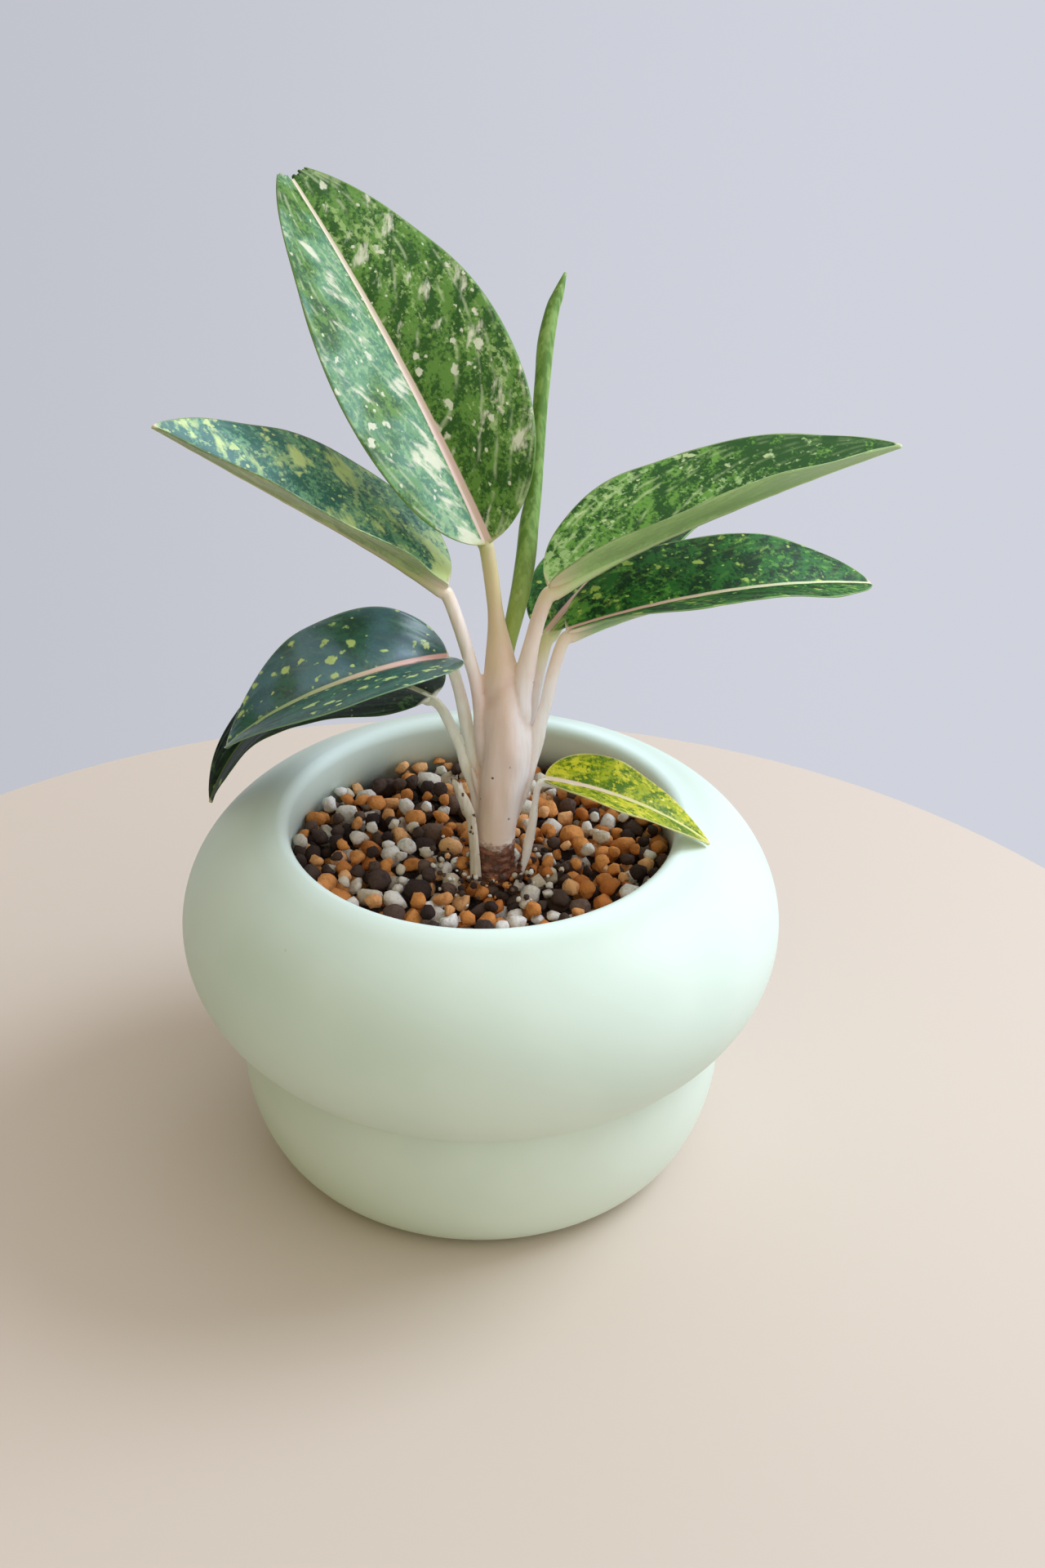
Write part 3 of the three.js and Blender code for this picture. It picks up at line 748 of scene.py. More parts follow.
def cavity(clearance):
    """Profile of the cavity from the foot of the neck to the middle of the floor."""
    upper = arc(
        (OPENING_RADIUS, UPPER_CAVITY["middle_height"]),
        UPPER_CAVITY["radius"] - OPENING_RADIUS - clearance,
        UPPER_CAVITY["half_height"] - clearance,
        90, UPPER_CAVITY["end"], ARC_STEPS["upper_cavity"],
    )
    upper[0] = (OPENING_RADIUS - clearance, upper[0][1])
    lower = arc(
        (LOWER_CAVITY["middle_radius"], FLOOR_THICKNESS + LOWER_CAVITY["height"] / 2),
        LOWER_CAVITY["radius"] - LOWER_CAVITY["middle_radius"] - clearance,
        LOWER_CAVITY["height"] / 2 - clearance,
        LOWER_CAVITY["start"], -90, ARC_STEPS["lower_cavity"],
    )
    return [*upper, *lower, (0, FLOOR_THICKNESS + clearance)]


def turned(profile, segments):
    """Points and faces of a profile turned about Z. It starts and ends on the axis."""
    turns = np.linspace(0, 2 * math.pi, segments, endpoint=False)
    circle = np.stack([np.cos(turns), np.sin(turns)], axis=1)
    rings = [np.column_stack([r * circle, np.full(segments, z)]) for r, z in profile[1:-1]]
    points = np.vstack([*rings, [(0, 0, profile[0][1])], [(0, 0, profile[-1][1])]])
    faces = ring_faces(len(rings), segments)[:-2]
    start = len(rings) * segments
    last = start - segments
    for i in range(segments):
        j = (i + 1) % segments
        faces.append((start, j, i))
        faces.append((start + 1, last + i, last + j))
    return points, faces


def pot_material():
    """Matte mint glaze, faintly mottled, with a few fine pits."""
    shader = Shader("mint_glaze", {"Specular IOR Level": 0.35})
    place = shader.place()
    cloud = shader.noise(place, 28.0, 3.0)
    tint = shader.fade(cloud, 0.35, 0.65, (213, 228, 210), (219, 232, 215))
    pits = shader.cells(place, 95.0)
    rare = shader.band(shader.parts(pits["Color"])[0], 0.93, 0.94)
    pit = shader.times(shader.band(pits["Distance"], 0.045, 0.02), rare)
    tint = shader.over(tint, (150, 158, 140), pit, 0.35)
    # Painted light: the neck and the inner wall below the rim are paler.
    tint = shader.blend(shader.attribute("neck"), tint, (234, 251, 239))
    shader.dress({"Roughness": shader.plus(shader.times(cloud, 0.14), 0.44)})
    grain = shader.times(shader.noise(place, 900.0, 2.0), 0.25)
    return shader.finished(tint, shader.math("SUBTRACT", grain, pit), 0.35, 0.0001)


def add_pot():
    points, faces = turned([*pot_outside(), *cavity(0)], POT_SEGMENTS)
    pot = add_piece("pot_shell", points, faces, [pot_material()])
    # Share of the painted light on the neck.
    neck = smoothstep(np.hypot(points[:, 0], points[:, 1]), *LIT_NECK_RADII)
    set_numbers(pot, "neck", neck * (points[:, 2] > UPPER_CAVITY["middle_height"]))
    settle(pot, ["pot"])


def leaf_axes(leaf, place):
    """Direction, side and upper face of a leaf's midrib at shares of its length."""
    heading = np.radians(mix(leaf.heading, place))
    rise = np.radians(mix(leaf.rise, place))
    roll = np.radians(mix(leaf.roll, place))[..., None]
    flat = np.cos(rise)
    along = np.stack([flat * np.cos(heading), flat * np.sin(heading), np.sin(rise)], axis=-1)
    level = np.stack([np.sin(heading), -np.cos(heading), np.zeros_like(heading)], axis=-1)
    upright = np.cross(level, along)
    side = level * np.cos(roll) + upright * np.sin(roll)
    up = upright * np.cos(roll) - level * np.sin(roll)
    return along, side, up


def midrib_points(leaf, place):
    """The midrib is walked in short steps, each in the direction that holds there."""
    along, _, _ = leaf_axes(leaf, (np.arange(MIDRIB_STEPS) + 0.5) / MIDRIB_STEPS)
    steps = np.vstack([np.zeros(3), np.cumsum(along, axis=0) * leaf.length / MIDRIB_STEPS])
    walked = steps + np.array(leaf.base)
    knots = np.linspace(0, 1, MIDRIB_STEPS + 1)
    return np.stack([np.interp(place, knots, walked[:, k]) for k in range(3)], axis=-1)


def blade_half_width(leaf, place):
    a, b = leaf.fullness
    peak = (a / (a + b)) ** a * (b / (a + b)) ** b
    opened = leaf.half_width * place**a * (1 - place) ** b / peak
    stalk = BASE_PINCH * leaf.radius[1] * np.maximum(0, 1 - place / STALK_FADE)
    return np.sqrt(opened**2 + stalk**2 + TIP_HALF_WIDTH**2)


def midrib_depth(leaf, place):
    stalk = 2 * leaf.radius[1] - BLADE_THICKNESS
    fine = MIDRIB_MIDDLE + (MIDRIB_TIP - MIDRIB_MIDDLE) * place
    return fine + (stalk - fine) * np.maximum(0, 1 - place / RIB_FADE) ** 3


def vein_phase(leaf, place, s):
    """Counts the lateral veins: it is a whole number along the middle of each of them."""
    reach = np.abs(s)
    start = place - VEIN_LEAN * reach - VEIN_BEND * reach**3
    phase = leaf.veins * start + 0.45 * np.tanh(4 * s)
    return phase + 0.16 * np.sin(2.1 * phase + 9 * leaf.base[0] + 1.5 * s)


def vein_spacing(x, y, phase):
    """Distance from one vein to the next at each point of a blade, from the slope of their count."""
    x_down, x_over = np.gradient(x)
    y_down, y_over = np.gradient(y)
    phase_down, phase_over = np.gradient(phase)
    area = x_down * y_over - x_over * y_down
    slope_x = (phase_down * y_over - phase_over * y_down) / area
    slope_y = (phase_over * x_down - phase_down * x_over) / area
    return 1 / np.maximum(np.hypot(slope_x, slope_y), 0.05)


def blade_numbers(leaf, place, s, half, phase):
    """What a blade's markings are drawn from: the blade laid flat, its grain, veins and edges."""
    along = place * leaf.length
    across = s * half
    off_rib = np.abs(across)
    grain_along = along * math.cos(GRAIN_TURN) + off_rib * math.sin(GRAIN_TURN)
    grain_across = along * math.sin(GRAIN_TURN) - off_rib * math.cos(GRAIN_TURN)
    spacing = vein_spacing(along, across, phase)
    return {
        "flat": (along / UV_LENGTH, across / UV_LENGTH),
        "grain": (grain_along / UV_LENGTH + np.where(s < 0, 3, 0), grain_across / UV_LENGTH),
        "veins": (phase / UV_VEINS, spacing / UV_LENGTH),
        "edges": (place, half * (1 - np.abs(s)) / UV_LENGTH),
    }


def blade_grid(leaf):
    """Upper and lower points of a blade, and the numbers that its markings are drawn from."""
    t = np.linspace(0, 1, BLADE_ROWS)[:, None]
    spread = np.linspace(-1, 1, BLADE_COLUMNS)[None, :]
    s = np.sign(spread) * np.abs(spread) ** COLUMN_CROWDING
    reach = np.abs(s)
    ragged = 0.006 * np.sin(23 * s + 1) * np.sin(9 * s) * np.sign(leaf.notch)
    notch = leaf.notch * (1 - reach) ** 2 + ragged
    place = t * leaf.end * (1 - notch * smoothstep(t, TIP_SHARE, 1))
    _, side, up = leaf_axes(leaf, place)
    slim = leaf.slim * smoothstep(place, SLIM_FADE, 0) * (s < 0)
    half = blade_half_width(leaf, place) * (1 - slim)
    across = s * half
    fold = np.radians(mix(leaf.fold, place))
    wave = leaf.wave * np.sin(2 * math.pi * leaf.waves * place + s) * np.sin(math.pi * place)
    lift = half * (reach * np.sin(fold) - (leaf.bow - wave) * reach**2)
    phase = vein_phase(leaf, place, s)
    off_vein = np.abs(phase - np.round(phase))
    opened = smoothstep(half, 3, 8) * smoothstep(place, 0.02, 0.1)
    furrow = VEIN_DEPTH * np.exp(-((off_vein / FURROW_SHARE) ** 2)) * (1 - reach**4)
    quilt = VEIN_DEPTH * 0.4 * np.cos(2 * math.pi * phase) * (1 - reach**2)
    channel = CHANNEL_DEPTH * np.exp(-((across / CHANNEL_WIDTH) ** 2)) * (1 - 0.7 * place)
    flutter = FLUTTER * reach**3 * np.sin(3.3 * phase + 3 * np.sign(s))
    relief = opened * (flutter - furrow - quilt * smoothstep(np.abs(across), 1, 3)) - channel
    middle = midrib_points(leaf, place)
    upper = middle + side * (across * np.cos(fold))[..., None] + up * (lift + relief)[..., None]
    rib = midrib_depth(leaf, place) * np.exp(-((across / MIDRIB_WIDTH) ** 2))
    rib = rib * smoothstep(place, -0.005, 0.04)
    thickness = BLADE_THICKNESS * (1 - 0.45 * reach**8)
    lower = upper - up * (thickness + rib + channel * 0.6)[..., None]
    return upper, lower, blade_numbers(leaf, place, s, half, phase)


def level_for(cover):
    """The value of a noise texture above which this share of it lies."""
    return 0.5 + 0.12 * NormalDist().inv_cdf(1 - max(cover, 0.001))


def spotted(shader, look, green, flat, seed, seen):
    """Round cream spots and tiny dots, each kind in a share of the cells of its pattern."""
    wobble = shader.node("ShaderNodeTexNoise", {"Vector": flat, "Scale": 60.0}).outputs["Color"]
    for count, cover, largest in zip(SPOT_CELLS, look.cover[2:], SPOT_SIZES):
        scaled = shader.scaled(flat, (count, count * 1.3, 0), (seed, 1, 0))
        cells = shader.cells(shader.vector_math("ADD", scaled, wobble), 1.0)
        chance, size, _ = shader.parts(cells["Color"])
        reach = shader.line(size, largest / 2, largest / 2)
        off = shader.math("SUBTRACT", cells["Distance"], reach)
        spot = shader.times(shader.band(off, 0.06, -0.12), shader.math("LESS_THAN", chance, cover))
        green = shader.over(green, look.greens[3], spot, 0.85 * seen)
    return green


def leaf_marks(shader, look, seed, seen):
    """Colour of a blade: greens, speckles, blotches, spots, veins, midrib and margin.

    Seen is how strongly the light marks show. Also gives the fine mottling and the share of length.
    """
    flat, _, across = shader.uv("flat")
    grain, _, _ = shader.uv("grain")
    _, phase, spacing = shader.uv("veins")
    _, place, margin = shader.uv("edges")
    dark, mid, light, cream = look.greens
    fine = shader.streaks(flat, (110, 110, 0), (seed, 0, 0), 2.0, 0.6)
    cloud = shader.streaks(grain, (16, 30, 0), (0, seed, 3))
    coarse = shader.streaks(flat, (8, 8, 0), (seed, 2, 0), 1.0)
    shade = shader.times(shader.band(place, 0.25, 0.8), look.shade)
    mottle = shader.line(shade, -0.12, shader.blend(0.55, fine, cloud))
    green = shader.fade(mottle, 0.43, 0.57, dark, mid)
    near_base = shader.times(shader.band(place, 0.15, 0.0), 0.09)
    patchy = shader.plus(shader.line(coarse, 0.5, -0.25), near_base)
    patchy = shader.line(shade, -0.14, patchy)

    def covered(value, cover, soft):
        """Where a noise covers this share of the blade, more of it in some patches."""
        level = level_for(cover)
        return shader.band(shader.plus(value, patchy), level, level + soft)

    speckle = shader.streaks(flat, (52, 62, 0), (seed, 7, 0), 3.0, 0.65)
    green = shader.over(green, light, covered(speckle, look.cover[0], 0.11), 0.8 * seen)
    # Painted reflection: a bluish tint for the mirrored room on one half of the blade, in patches.
    if look.painted_reflection:
        tint, half, share = look.painted_reflection
        reflected_share = shader.times(shader.band(across, 0.0, 0.02 * half), share)
        reflected_share = shader.times(reflected_share, shader.band(coarse, 0.36, 0.6))
        green = shader.blend(reflected_share, green, tint)
    blotch = shader.streaks(grain, (9, 24, 0), (seed, 3, 5), 4.0, 0.6)
    green = shader.over(green, cream, covered(blotch, look.cover[1], 0.13), 0.9 * seen)
    green = spotted(shader, look, green, flat, seed, seen)
    drift = shader.streaks(flat, (12, 12, 0), (seed, 4, 4))
    off_vein = shader.line(phase, UV_VEINS, shader.line(drift, 0.5, -0.25))
    off_vein = shader.times(shader.math("PINGPONG", off_vein, 0.5), shader.times(spacing, UV_LENGTH))
    off_vein = shader.plus(off_vein, shader.times(fine, 0.3))
    broken = shader.streaks(grain, (20, 30, 0), (seed, 9, 1))
    vein = shader.times(shader.band(off_vein, 0.8, 0.15), shader.band(broken, 0.43, 0.62))
    vein = shader.times(vein, shader.line(shade, -0.5, look.vein))
    green = shader.blend(vein, green, shader.blend(0.5, light, cream))
    hem = shader.band(shader.line(fine, 0.002, margin), 0.0050, 0.0028)
    green = shader.over(green, look.margin, hem, 0.7)
    base_width, tip_width = look.rib_width
    widening = (tip_width - base_width) / UV_LENGTH
    rib_half = shader.line(place, widening, base_width / UV_LENGTH)
    rib_tint = shader.fade(place, 0.1, 0.75, *look.rib)
    off_rib = shader.math("DIVIDE", shader.math("ABSOLUTE", across), rib_half)
    green = shader.fade(off_rib, 1.0, 0.72, green, rib_tint)
    return green, fine, place


def blade_material(leaf, seed):
    """Upper face: it goes over into the stalk at its base, and a whole tip ends in a pale point."""
    look = LOOKS[leaf.look]
    rough, gloss = look.sheen
    shader = Shader(f"blade_{leaf.name}_upper", {"Roughness": rough, "Specular IOR Level": gloss})
    green, fine, place = leaf_marks(shader, look, seed, 1.0)
    green = shader.fade(place, 0.014, 0.0, green, leaf.stalk[2])
    if not leaf.notch:
        green = shader.fade(place, 0.982, 0.999, green, (222, 212, 170))
    return shader.finished(green, fine, 0.12, 0.0002)


def underside_material(leaf, seed):
    """Paler and duller than the upper face, with the same markings showing through faintly."""
    look = LOOKS[leaf.look]
    shader = Shader(f"blade_{leaf.name}_under", {"Roughness": 0.5, "Specular IOR Level": 0.35})
    green, fine, place = leaf_marks(shader, look, seed, 0.5)
    pale = shader.blend(look.veil, green, look.under)
    pale = shader.fade(place, 0.12, 0.0, pale, leaf.stalk[2])
    return shader.finished(pale, fine, 0.15, 0.0002)


def add_blade(leaf, seed):
    """A leaf's blade. Its upper and lower grids are joined all round their border."""
    upper, lower, numbers = blade_grid(leaf)
    count = BLADE_ROWS * BLADE_COLUMNS
    grid = np.arange(count).reshape(BLADE_ROWS, BLADE_COLUMNS)
    quads = np.stack([grid[:-1, :-1], grid[:-1, 1:], grid[1:, 1:], grid[1:, :-1]], axis=-1)
    quads = quads.reshape(-1, 4)
    border = np.concatenate([grid[:-1, 0], grid[-1, :-1], grid[:0:-1, -1], grid[0, :0:-1]])
    after = np.roll(border, -1)
    rims = np.stack([border, after, after + count, border + count], axis=-1)
    faces = np.vstack([quads, quads[:, ::-1] + count, rims])
    points = np.vstack([upper.reshape(-1, 3), lower.reshape(-1, 3)])
    materials = [blade_material(leaf, seed), underside_material(leaf, seed)]
    piece = add_piece(f"leaf_{leaf.name}", points, faces, materials)
    slots = np.repeat(np.array([0, 1, 0], np.int32), [len(quads), len(quads), len(rims)])
    piece.data.polygons.foreach_set("material_index", slots)
    corners = read(piece.data.loops, "vertex_index", kind=np.int32)[:, 0]
    for name, pair in numbers.items():
        values = np.stack(np.broadcast_arrays(*pair), axis=-1).reshape(-1, 2)
        values = np.vstack([values, values]).astype(np.float32)
        layer = piece.data.uv_layers.new(name=name, do_init=False)
        layer.data.foreach_set("uv", values[corners].ravel())
    settle(piece, [f"blade_{leaf.name}"])


def tube(points, radii, sides, lap=0.0):
    """Points and faces of a closed tube along points. Its outline steps out by the share lap."""
    tangents = np.gradient(points, axis=0)
    tangents /= np.linalg.norm(tangents, axis=1)[:, None]
    side = np.array([1.0, 0.0, 0.0])
    rings = []
    for point, along, radius in zip(points, tangents, radii):
        side = side - along * side.dot(along)
        side /= np.linalg.norm(side)
        up = np.cross(along, side)
        for k in range(sides):
            angle = 2 * math.pi * k / sides
            far = radius * (1 + lap * (k / sides - 0.5))
            rings.append(point + side * far * math.cos(angle) + up * far * math.sin(angle))
    return np.array(rings), ring_faces(len(points), sides)


def smooth_path(knots, steps):
    """A smooth line through knots, as many numbers wide as they are."""
    knots = np.asarray(knots, float)
    padded = np.vstack([2 * knots[0] - knots[1], knots, 2 * knots[-1] - knots[-2]])
    line = []
    for i in range(len(knots) - 1):
        a, b, c, d = padded[i:i + 4]
        square = 2 * a - 5 * b + 4 * c - d
        cube = 3 * b - a - 3 * c + d
        for k in range(steps):
            t = k / steps
            line.append(0.5 * (2 * b + (c - a) * t + square * t**2 + cube * t**3))
    line.append(knots[-1])
    return np.array(line)


def stalk_line(leaf):
    """Middle line of a leaf's stalk with its radii. It runs on under the blade as its rib."""
    radius = leaf.radius
    along, _, up = leaf_axes(leaf, np.array(0.0))
    top = np.array(leaf.base) - up * radius[1]
    foot, knee, neck = np.array(leaf.foot), np.array(leaf.knee), top - along * leaf.neck
    t = np.linspace(0, 1, STALK_STEPS)[:, None]
    line = foot * (1 - t) ** 3 + knee * 3 * t * (1 - t) ** 2 + neck * 3 * t**2 * (1 - t) + top * t**3
    rooted = mix((ROOT_SHARE, 1), smoothstep(t, 0, ROOT_REACH))
    radii = mix(radius, smoothstep(t, *leaf.flare)) * rooted
    shares = np.linspace(*UNDER_SHARES, UNDER_STEPS)
    _, _, ups = leaf_axes(leaf, shares)
    under_radii = (BLADE_THICKNESS + midrib_depth(leaf, shares)) / 2
    under_radii = under_radii + 0.15 * (1 - shares / UNDER_SHARES[1])
    under = midrib_points(leaf, shares) - ups * (under_radii + 0.3)[:, None]
    return np.vstack([np.hstack([line, radii]), np.column_stack([under, under_radii])])


def stalk_guides():
    """Lines of points and radii of the stem, the sheaths' tips and the stalks, with their colours."""
    stem = smooth_path([(x, y, z, radius) for z, x, y, radius in STEM_RINGS], 6)
    guides = [(stem, [STEM_COLOUR] * len(TINT_SHARES))]
    for start, end, radii in SHEATH_TIPS:
        tip = np.linspace((*start, radii[0]), (*end, radii[1]), 10)
        guides.append((tip, [STEM_COLOUR] * len(TINT_SHARES)))
    for leaf in LEAVES:
        guides.append((stalk_line(leaf), [*leaf.stalk, LOOKS[leaf.look].under]))
    return guides


def fused_mesh(lines):
    """One mesh round tubes along lines of points and radii."""
    points = []
    faces = []
    for line in lines:
        body, sides = tube(line[:, :3], line[:, 3], TUBE_SIDES)
        faces.extend(tuple(i + len(points) for i in face) for face in sides)
        points.extend(body)
    rough = add_piece("stalks_rough", points, faces, [])
    remesh = rough.modifiers.new("fuse", "REMESH")
    remesh.mode = "VOXEL"
    remesh.voxel_size = VOXEL * MM
    made = rough.evaluated_get(bpy.context.evaluated_depsgraph_get())
    fused = bpy.data.meshes.new_from_object(made)
    bpy.data.objects.remove(rough)
    return fused


def relaxed(points, edges):
    """Points drawn towards the middle of their neighbours, then as far back, so that girth is kept."""
    ends = np.vstack([edges, edges[:, ::-1]])
    counts = np.bincount(ends[:, 0], minlength=len(points))[:, None]
    for _ in range(SMOOTHING_ROUNDS):
        for pull in (1.0, SMOOTHING_BACK):
            neighbours = points[ends[:, 1]]
            sums = [np.bincount(ends[:, 0], neighbours[:, k], len(points)) for k in range(3)]
            points = points + pull * (np.stack(sums, axis=1) / counts - points) * SMOOTHING
    return points


def skin_shades(skin, guides):
    """Linear colour of each point of the skin from the lines near it, and its share of a crease."""
    guide = np.vstack([line for line, _ in guides])
    firsts = np.cumsum([0, *(len(line) for line, _ in guides[:-1])])
    tints = []
    for line, colours in guides:
        linear = np.array([colour(*tint)[:3] for tint in colours])
        shares = np.linspace(0, 1, len(line))
        tints.append(np.stack([np.interp(shares, TINT_SHARES, part) for part in linear.T], axis=1))
    tints = np.vstack(tints)
    shades = np.zeros((len(skin), 3))
    crease = np.zeros(len(skin))
    for start in range(0, len(skin), CHUNK):
        some = slice(start, start + CHUNK)
        gaps = np.linalg.norm(skin[some, None] - guide[None, :, :3], axis=2) - guide[None, :, 3]
        weights = np.exp(-((gaps + 0.6) / 0.7))
        weights /= weights.sum(axis=1)[:, None]
        shades[some] = weights @ tints
        nearest = np.sort(np.minimum.reduceat(gaps, firsts, axis=1), axis=1)
        meeting = np.exp(-(((nearest[:, 1] - nearest[:, 0]) / 0.4) ** 2))
        crease[some] = meeting * smoothstep(nearest[:, 1], 1.2, 0.5)
    return shades, crease * smoothstep(skin[:, 2], *CREASES_IN)


def lumps_at(points, scales):
    """Smooth noise at points that are stretched by scales."""
    return np.array([noise.noise(Vector(point)) for point in points * scales])


def stalk_material():
    """Waxy ivory and pink skin with fine streaks, specks of mix and a brown ringed foot."""
    shader = Shader("stalk_skin", {
        "Roughness": 0.42, "Subsurface Weight": 0.3, "Subsurface Scale": 0.003,
        "Subsurface Radius": (1.0, 0.6, 0.4),
    })
    place = shader.place()
    streaks = shader.streaks(place, (900, 900, 60))
    cloud = shader.noise(place, 130.0, 2.0)
    tint = shader.attribute("ground", "Color")
    tint = shader.over(tint, (214, 186, 150), shader.band(streaks, 0.45, 0.7), 0.16)
    tint = shader.over(tint, (238, 200, 190), shader.band(cloud, 0.5, 0.75), 0.30)
    specks = shader.cells(place, 800.0)
    drawn = shader.parts(specks["Color"])[0]
    often = shader.times(shader.attribute("dirt"), 0.2)
    rare = shader.band(shader.plus(drawn, often), 0.99, 1.0)
    clumps = shader.band(shader.noise(place, 210.0, 2.0), 0.5, 0.58)
    speck = shader.times(shader.times(shader.band(specks["Distance"], 0.30, 0.2), rare), clumps)
    tint = shader.over(tint, (74, 48, 36), speck, 0.9)
    foot = shader.attribute("foot")
    flakes = shader.streaks(place, (420, 420, 900), (0, 0, 0), 3.0, 0.65)
    bark = shader.fade(flakes, 0.38, 0.62, (74, 42, 30), (146, 96, 74))
    bark = shader.fade(flakes, 0.70, 0.72, bark, (226, 220, 210))
    worn = shader.plus(foot, shader.times(shader.math("SUBTRACT", flakes, 0.5), 1.3))
    tint = shader.fade(worn, 0.45, 0.85, tint, bark)
    height = shader.plus(shader.times(streaks, 0.3), shader.times(flakes, foot))
    return shader.finished(tint, height, 0.4, 0.0004)


def add_stalks():
    """Stem and stalks grown together: their tubes are fused, and the creases between them softened."""
    guides = stalk_guides()
    fused = fused_mesh([line for line, _ in guides])
    skin = relaxed(read(fused.vertices, "co", 3) / MM, read(fused.edges, "vertices", 2, np.int64))
    shades, crease = skin_shades(skin, guides)
    column = smoothstep(skin[:, 2], *LUMPS_IN) * smoothstep(skin[:, 2], *LUMPS_OUT)
    lumps = LUMP_HEIGHT * lumps_at(skin, LUMP_SCALES) * column
    skin += read(fused.vertices, "normal", 3) * (lumps - CREASE_DEPTH * crease)[:, None]
    z = skin[:, 2]
    heights, middles_x, middles_y, _ = np.array(STEM_RINGS).T
    axis = np.stack([np.interp(z, heights, middles_x), np.interp(z, heights, middles_y)], axis=1)
    out = skin[:, :2] - axis
    # Painted light: the sheaths on the stem's right side, towards the window, are paler.
    paler = LIT_SIDE_SHARE * smoothstep(out[:, 0], 0, 4) * smoothstep(z, *LIT_SIDE_OUT)
    shades += (np.array(colour(*LIT_SIDE)[:3]) - shades) * paler[:, None]
    # Painted shade darkens the creases where the stalks meet.
    shades *= 1 - CREASE_SHADE * crease[:, None] * CREASE_SHADE_TINT
    distance = np.linalg.norm(out, axis=1)
    foot = smoothstep(z, *FOOT_OUT) * smoothstep(distance, *FOOT_REACH)
    rings = FOOT_RING_HEIGHT * np.sin(z * 2 * math.pi / FOOT_RING_SPACING)
    rings += FOOT_LUMP_HEIGHT * lumps_at(skin, FOOT_LUMP_SCALES)
    skin[:, :2] += out / np.maximum(distance, 0.5)[:, None] * (foot * rings)[:, None]
    fused.vertices.foreach_set("co", (skin * MM).ravel())
    stalks = add_smooth("stem_and_stalks", fused, [stalk_material()])
    ground = np.column_stack([shades, np.ones(len(shades))])
    set_numbers(stalks, "ground", ground, "FLOAT_COLOR", "color")
    set_numbers(stalks, "foot", foot)
    set_numbers(stalks, "dirt", smoothstep(z, *SPECKS_OUT))
    settle(stalks, ["stem", *(f"petiole_{leaf.name}" for leaf in LEAVES)])


def rolled_leaf_material():
    """Streaked green, paler low down and along the margin that laps over."""
    shader = Shader("rolled_leaf_skin", {"Roughness": 0.42})
    place = shader.place()
    streaks = shader.streaks(place, (700, 700, 70), (0, 0, 0), 2.5, 0.6)
    green = shader.fade(streaks, 0.38, 0.62, (94, 134, 50), (134, 170, 84))
    specks = shader.streaks(place, (500, 500, 180), (3, 1, 2))
    green = shader.over(green, (176, 190, 128), shader.band(specks, 0.62, 0.68), 0.6)
    height = shader.parts(place)[2]
    green = shader.fade(height, 0.160, 0.122, green, (168, 188, 92))
    green = shader.over(green, (178, 190, 138), shader.attribute("lap"), 0.8)
    return shader.finished(green, streaks, 0.2, 0.0003)


def add_rolled_leaf():
    """The new leaf, whose margin laps over the roll as a fine raised line."""
    line = smooth_path(SPIKE_RINGS, 7)
    points, faces = tube(line[:, :3], line[:, 3], SPIKE_SIDES, SPIKE_LAP)
    piece = add_piece("rolled_leaf_roll", points, faces, [rolled_leaf_material()])
    turns = np.tile(np.arange(SPIKE_SIDES) / SPIKE_SIDES, len(line))
    set_numbers(piece, "lap", smoothstep(turns, *LAP_EDGE))
    settle(piece, ["rolled_leaf"])


def dry_sheath_material():
    """Pale streaked paper with brown stains."""
    shader = Shader("dry_sheath_paper", {"Roughness": 0.7})
    place = shader.place()
    streaks = shader.streaks(place, (800, 800, 90), (0, 0, 0), 3.0, 0.6)
    tint = shader.fade(streaks, 0.35, 0.65, (214, 200, 178), (236, 228, 212))
    stains = shader.noise(place, 520.0, 3.0, 0.6)
    tint = shader.fade(stains, 0.60, 0.66, tint, (92, 66, 52))
    return shader.finished(tint, streaks, 0.5, 0.0003)


def add_dry_sheath():
    """A curled strip, made of rings that run along its outer face and back along its inner one."""
    turns = np.linspace(-1, 1, DRY_SHEATH_COLUMNS)
    angles = np.radians(DRY_SHEATH_TURN + DRY_SHEATH_CURL * turns)
    top = DRY_SHEATH_RINGS[-1][2]
    rings = []
    for x, y, z, half in smooth_path(DRY_SHEATH_RINGS, 6):
        ragged = RAGGED_DEPTH * np.sin(5.1 * turns + z) * smoothstep(z, top - RAGGED_LENGTH, top)
        far = half * DRY_SHEATH_BULGE
        near = far - DRY_SHEATH_THICKNESS
        outer, inner = (
            np.stack([x + r * np.cos(angles), y + r * np.sin(angles), z + ragged], axis=1)
            for r in (far, near)
        )
        rings.append(np.vstack([outer, inner[::-1]]))
    faces = ring_faces(len(rings), 2 * DRY_SHEATH_COLUMNS)
    piece = add_piece("dry_sheath_stub", np.vstack(rings), faces, [dry_sheath_material()])
    settle(piece, ["old_sheath"])


def drawn_vector(draw, *limits):
    return Vector((draw(*limits), draw(*limits), draw(*limits)))


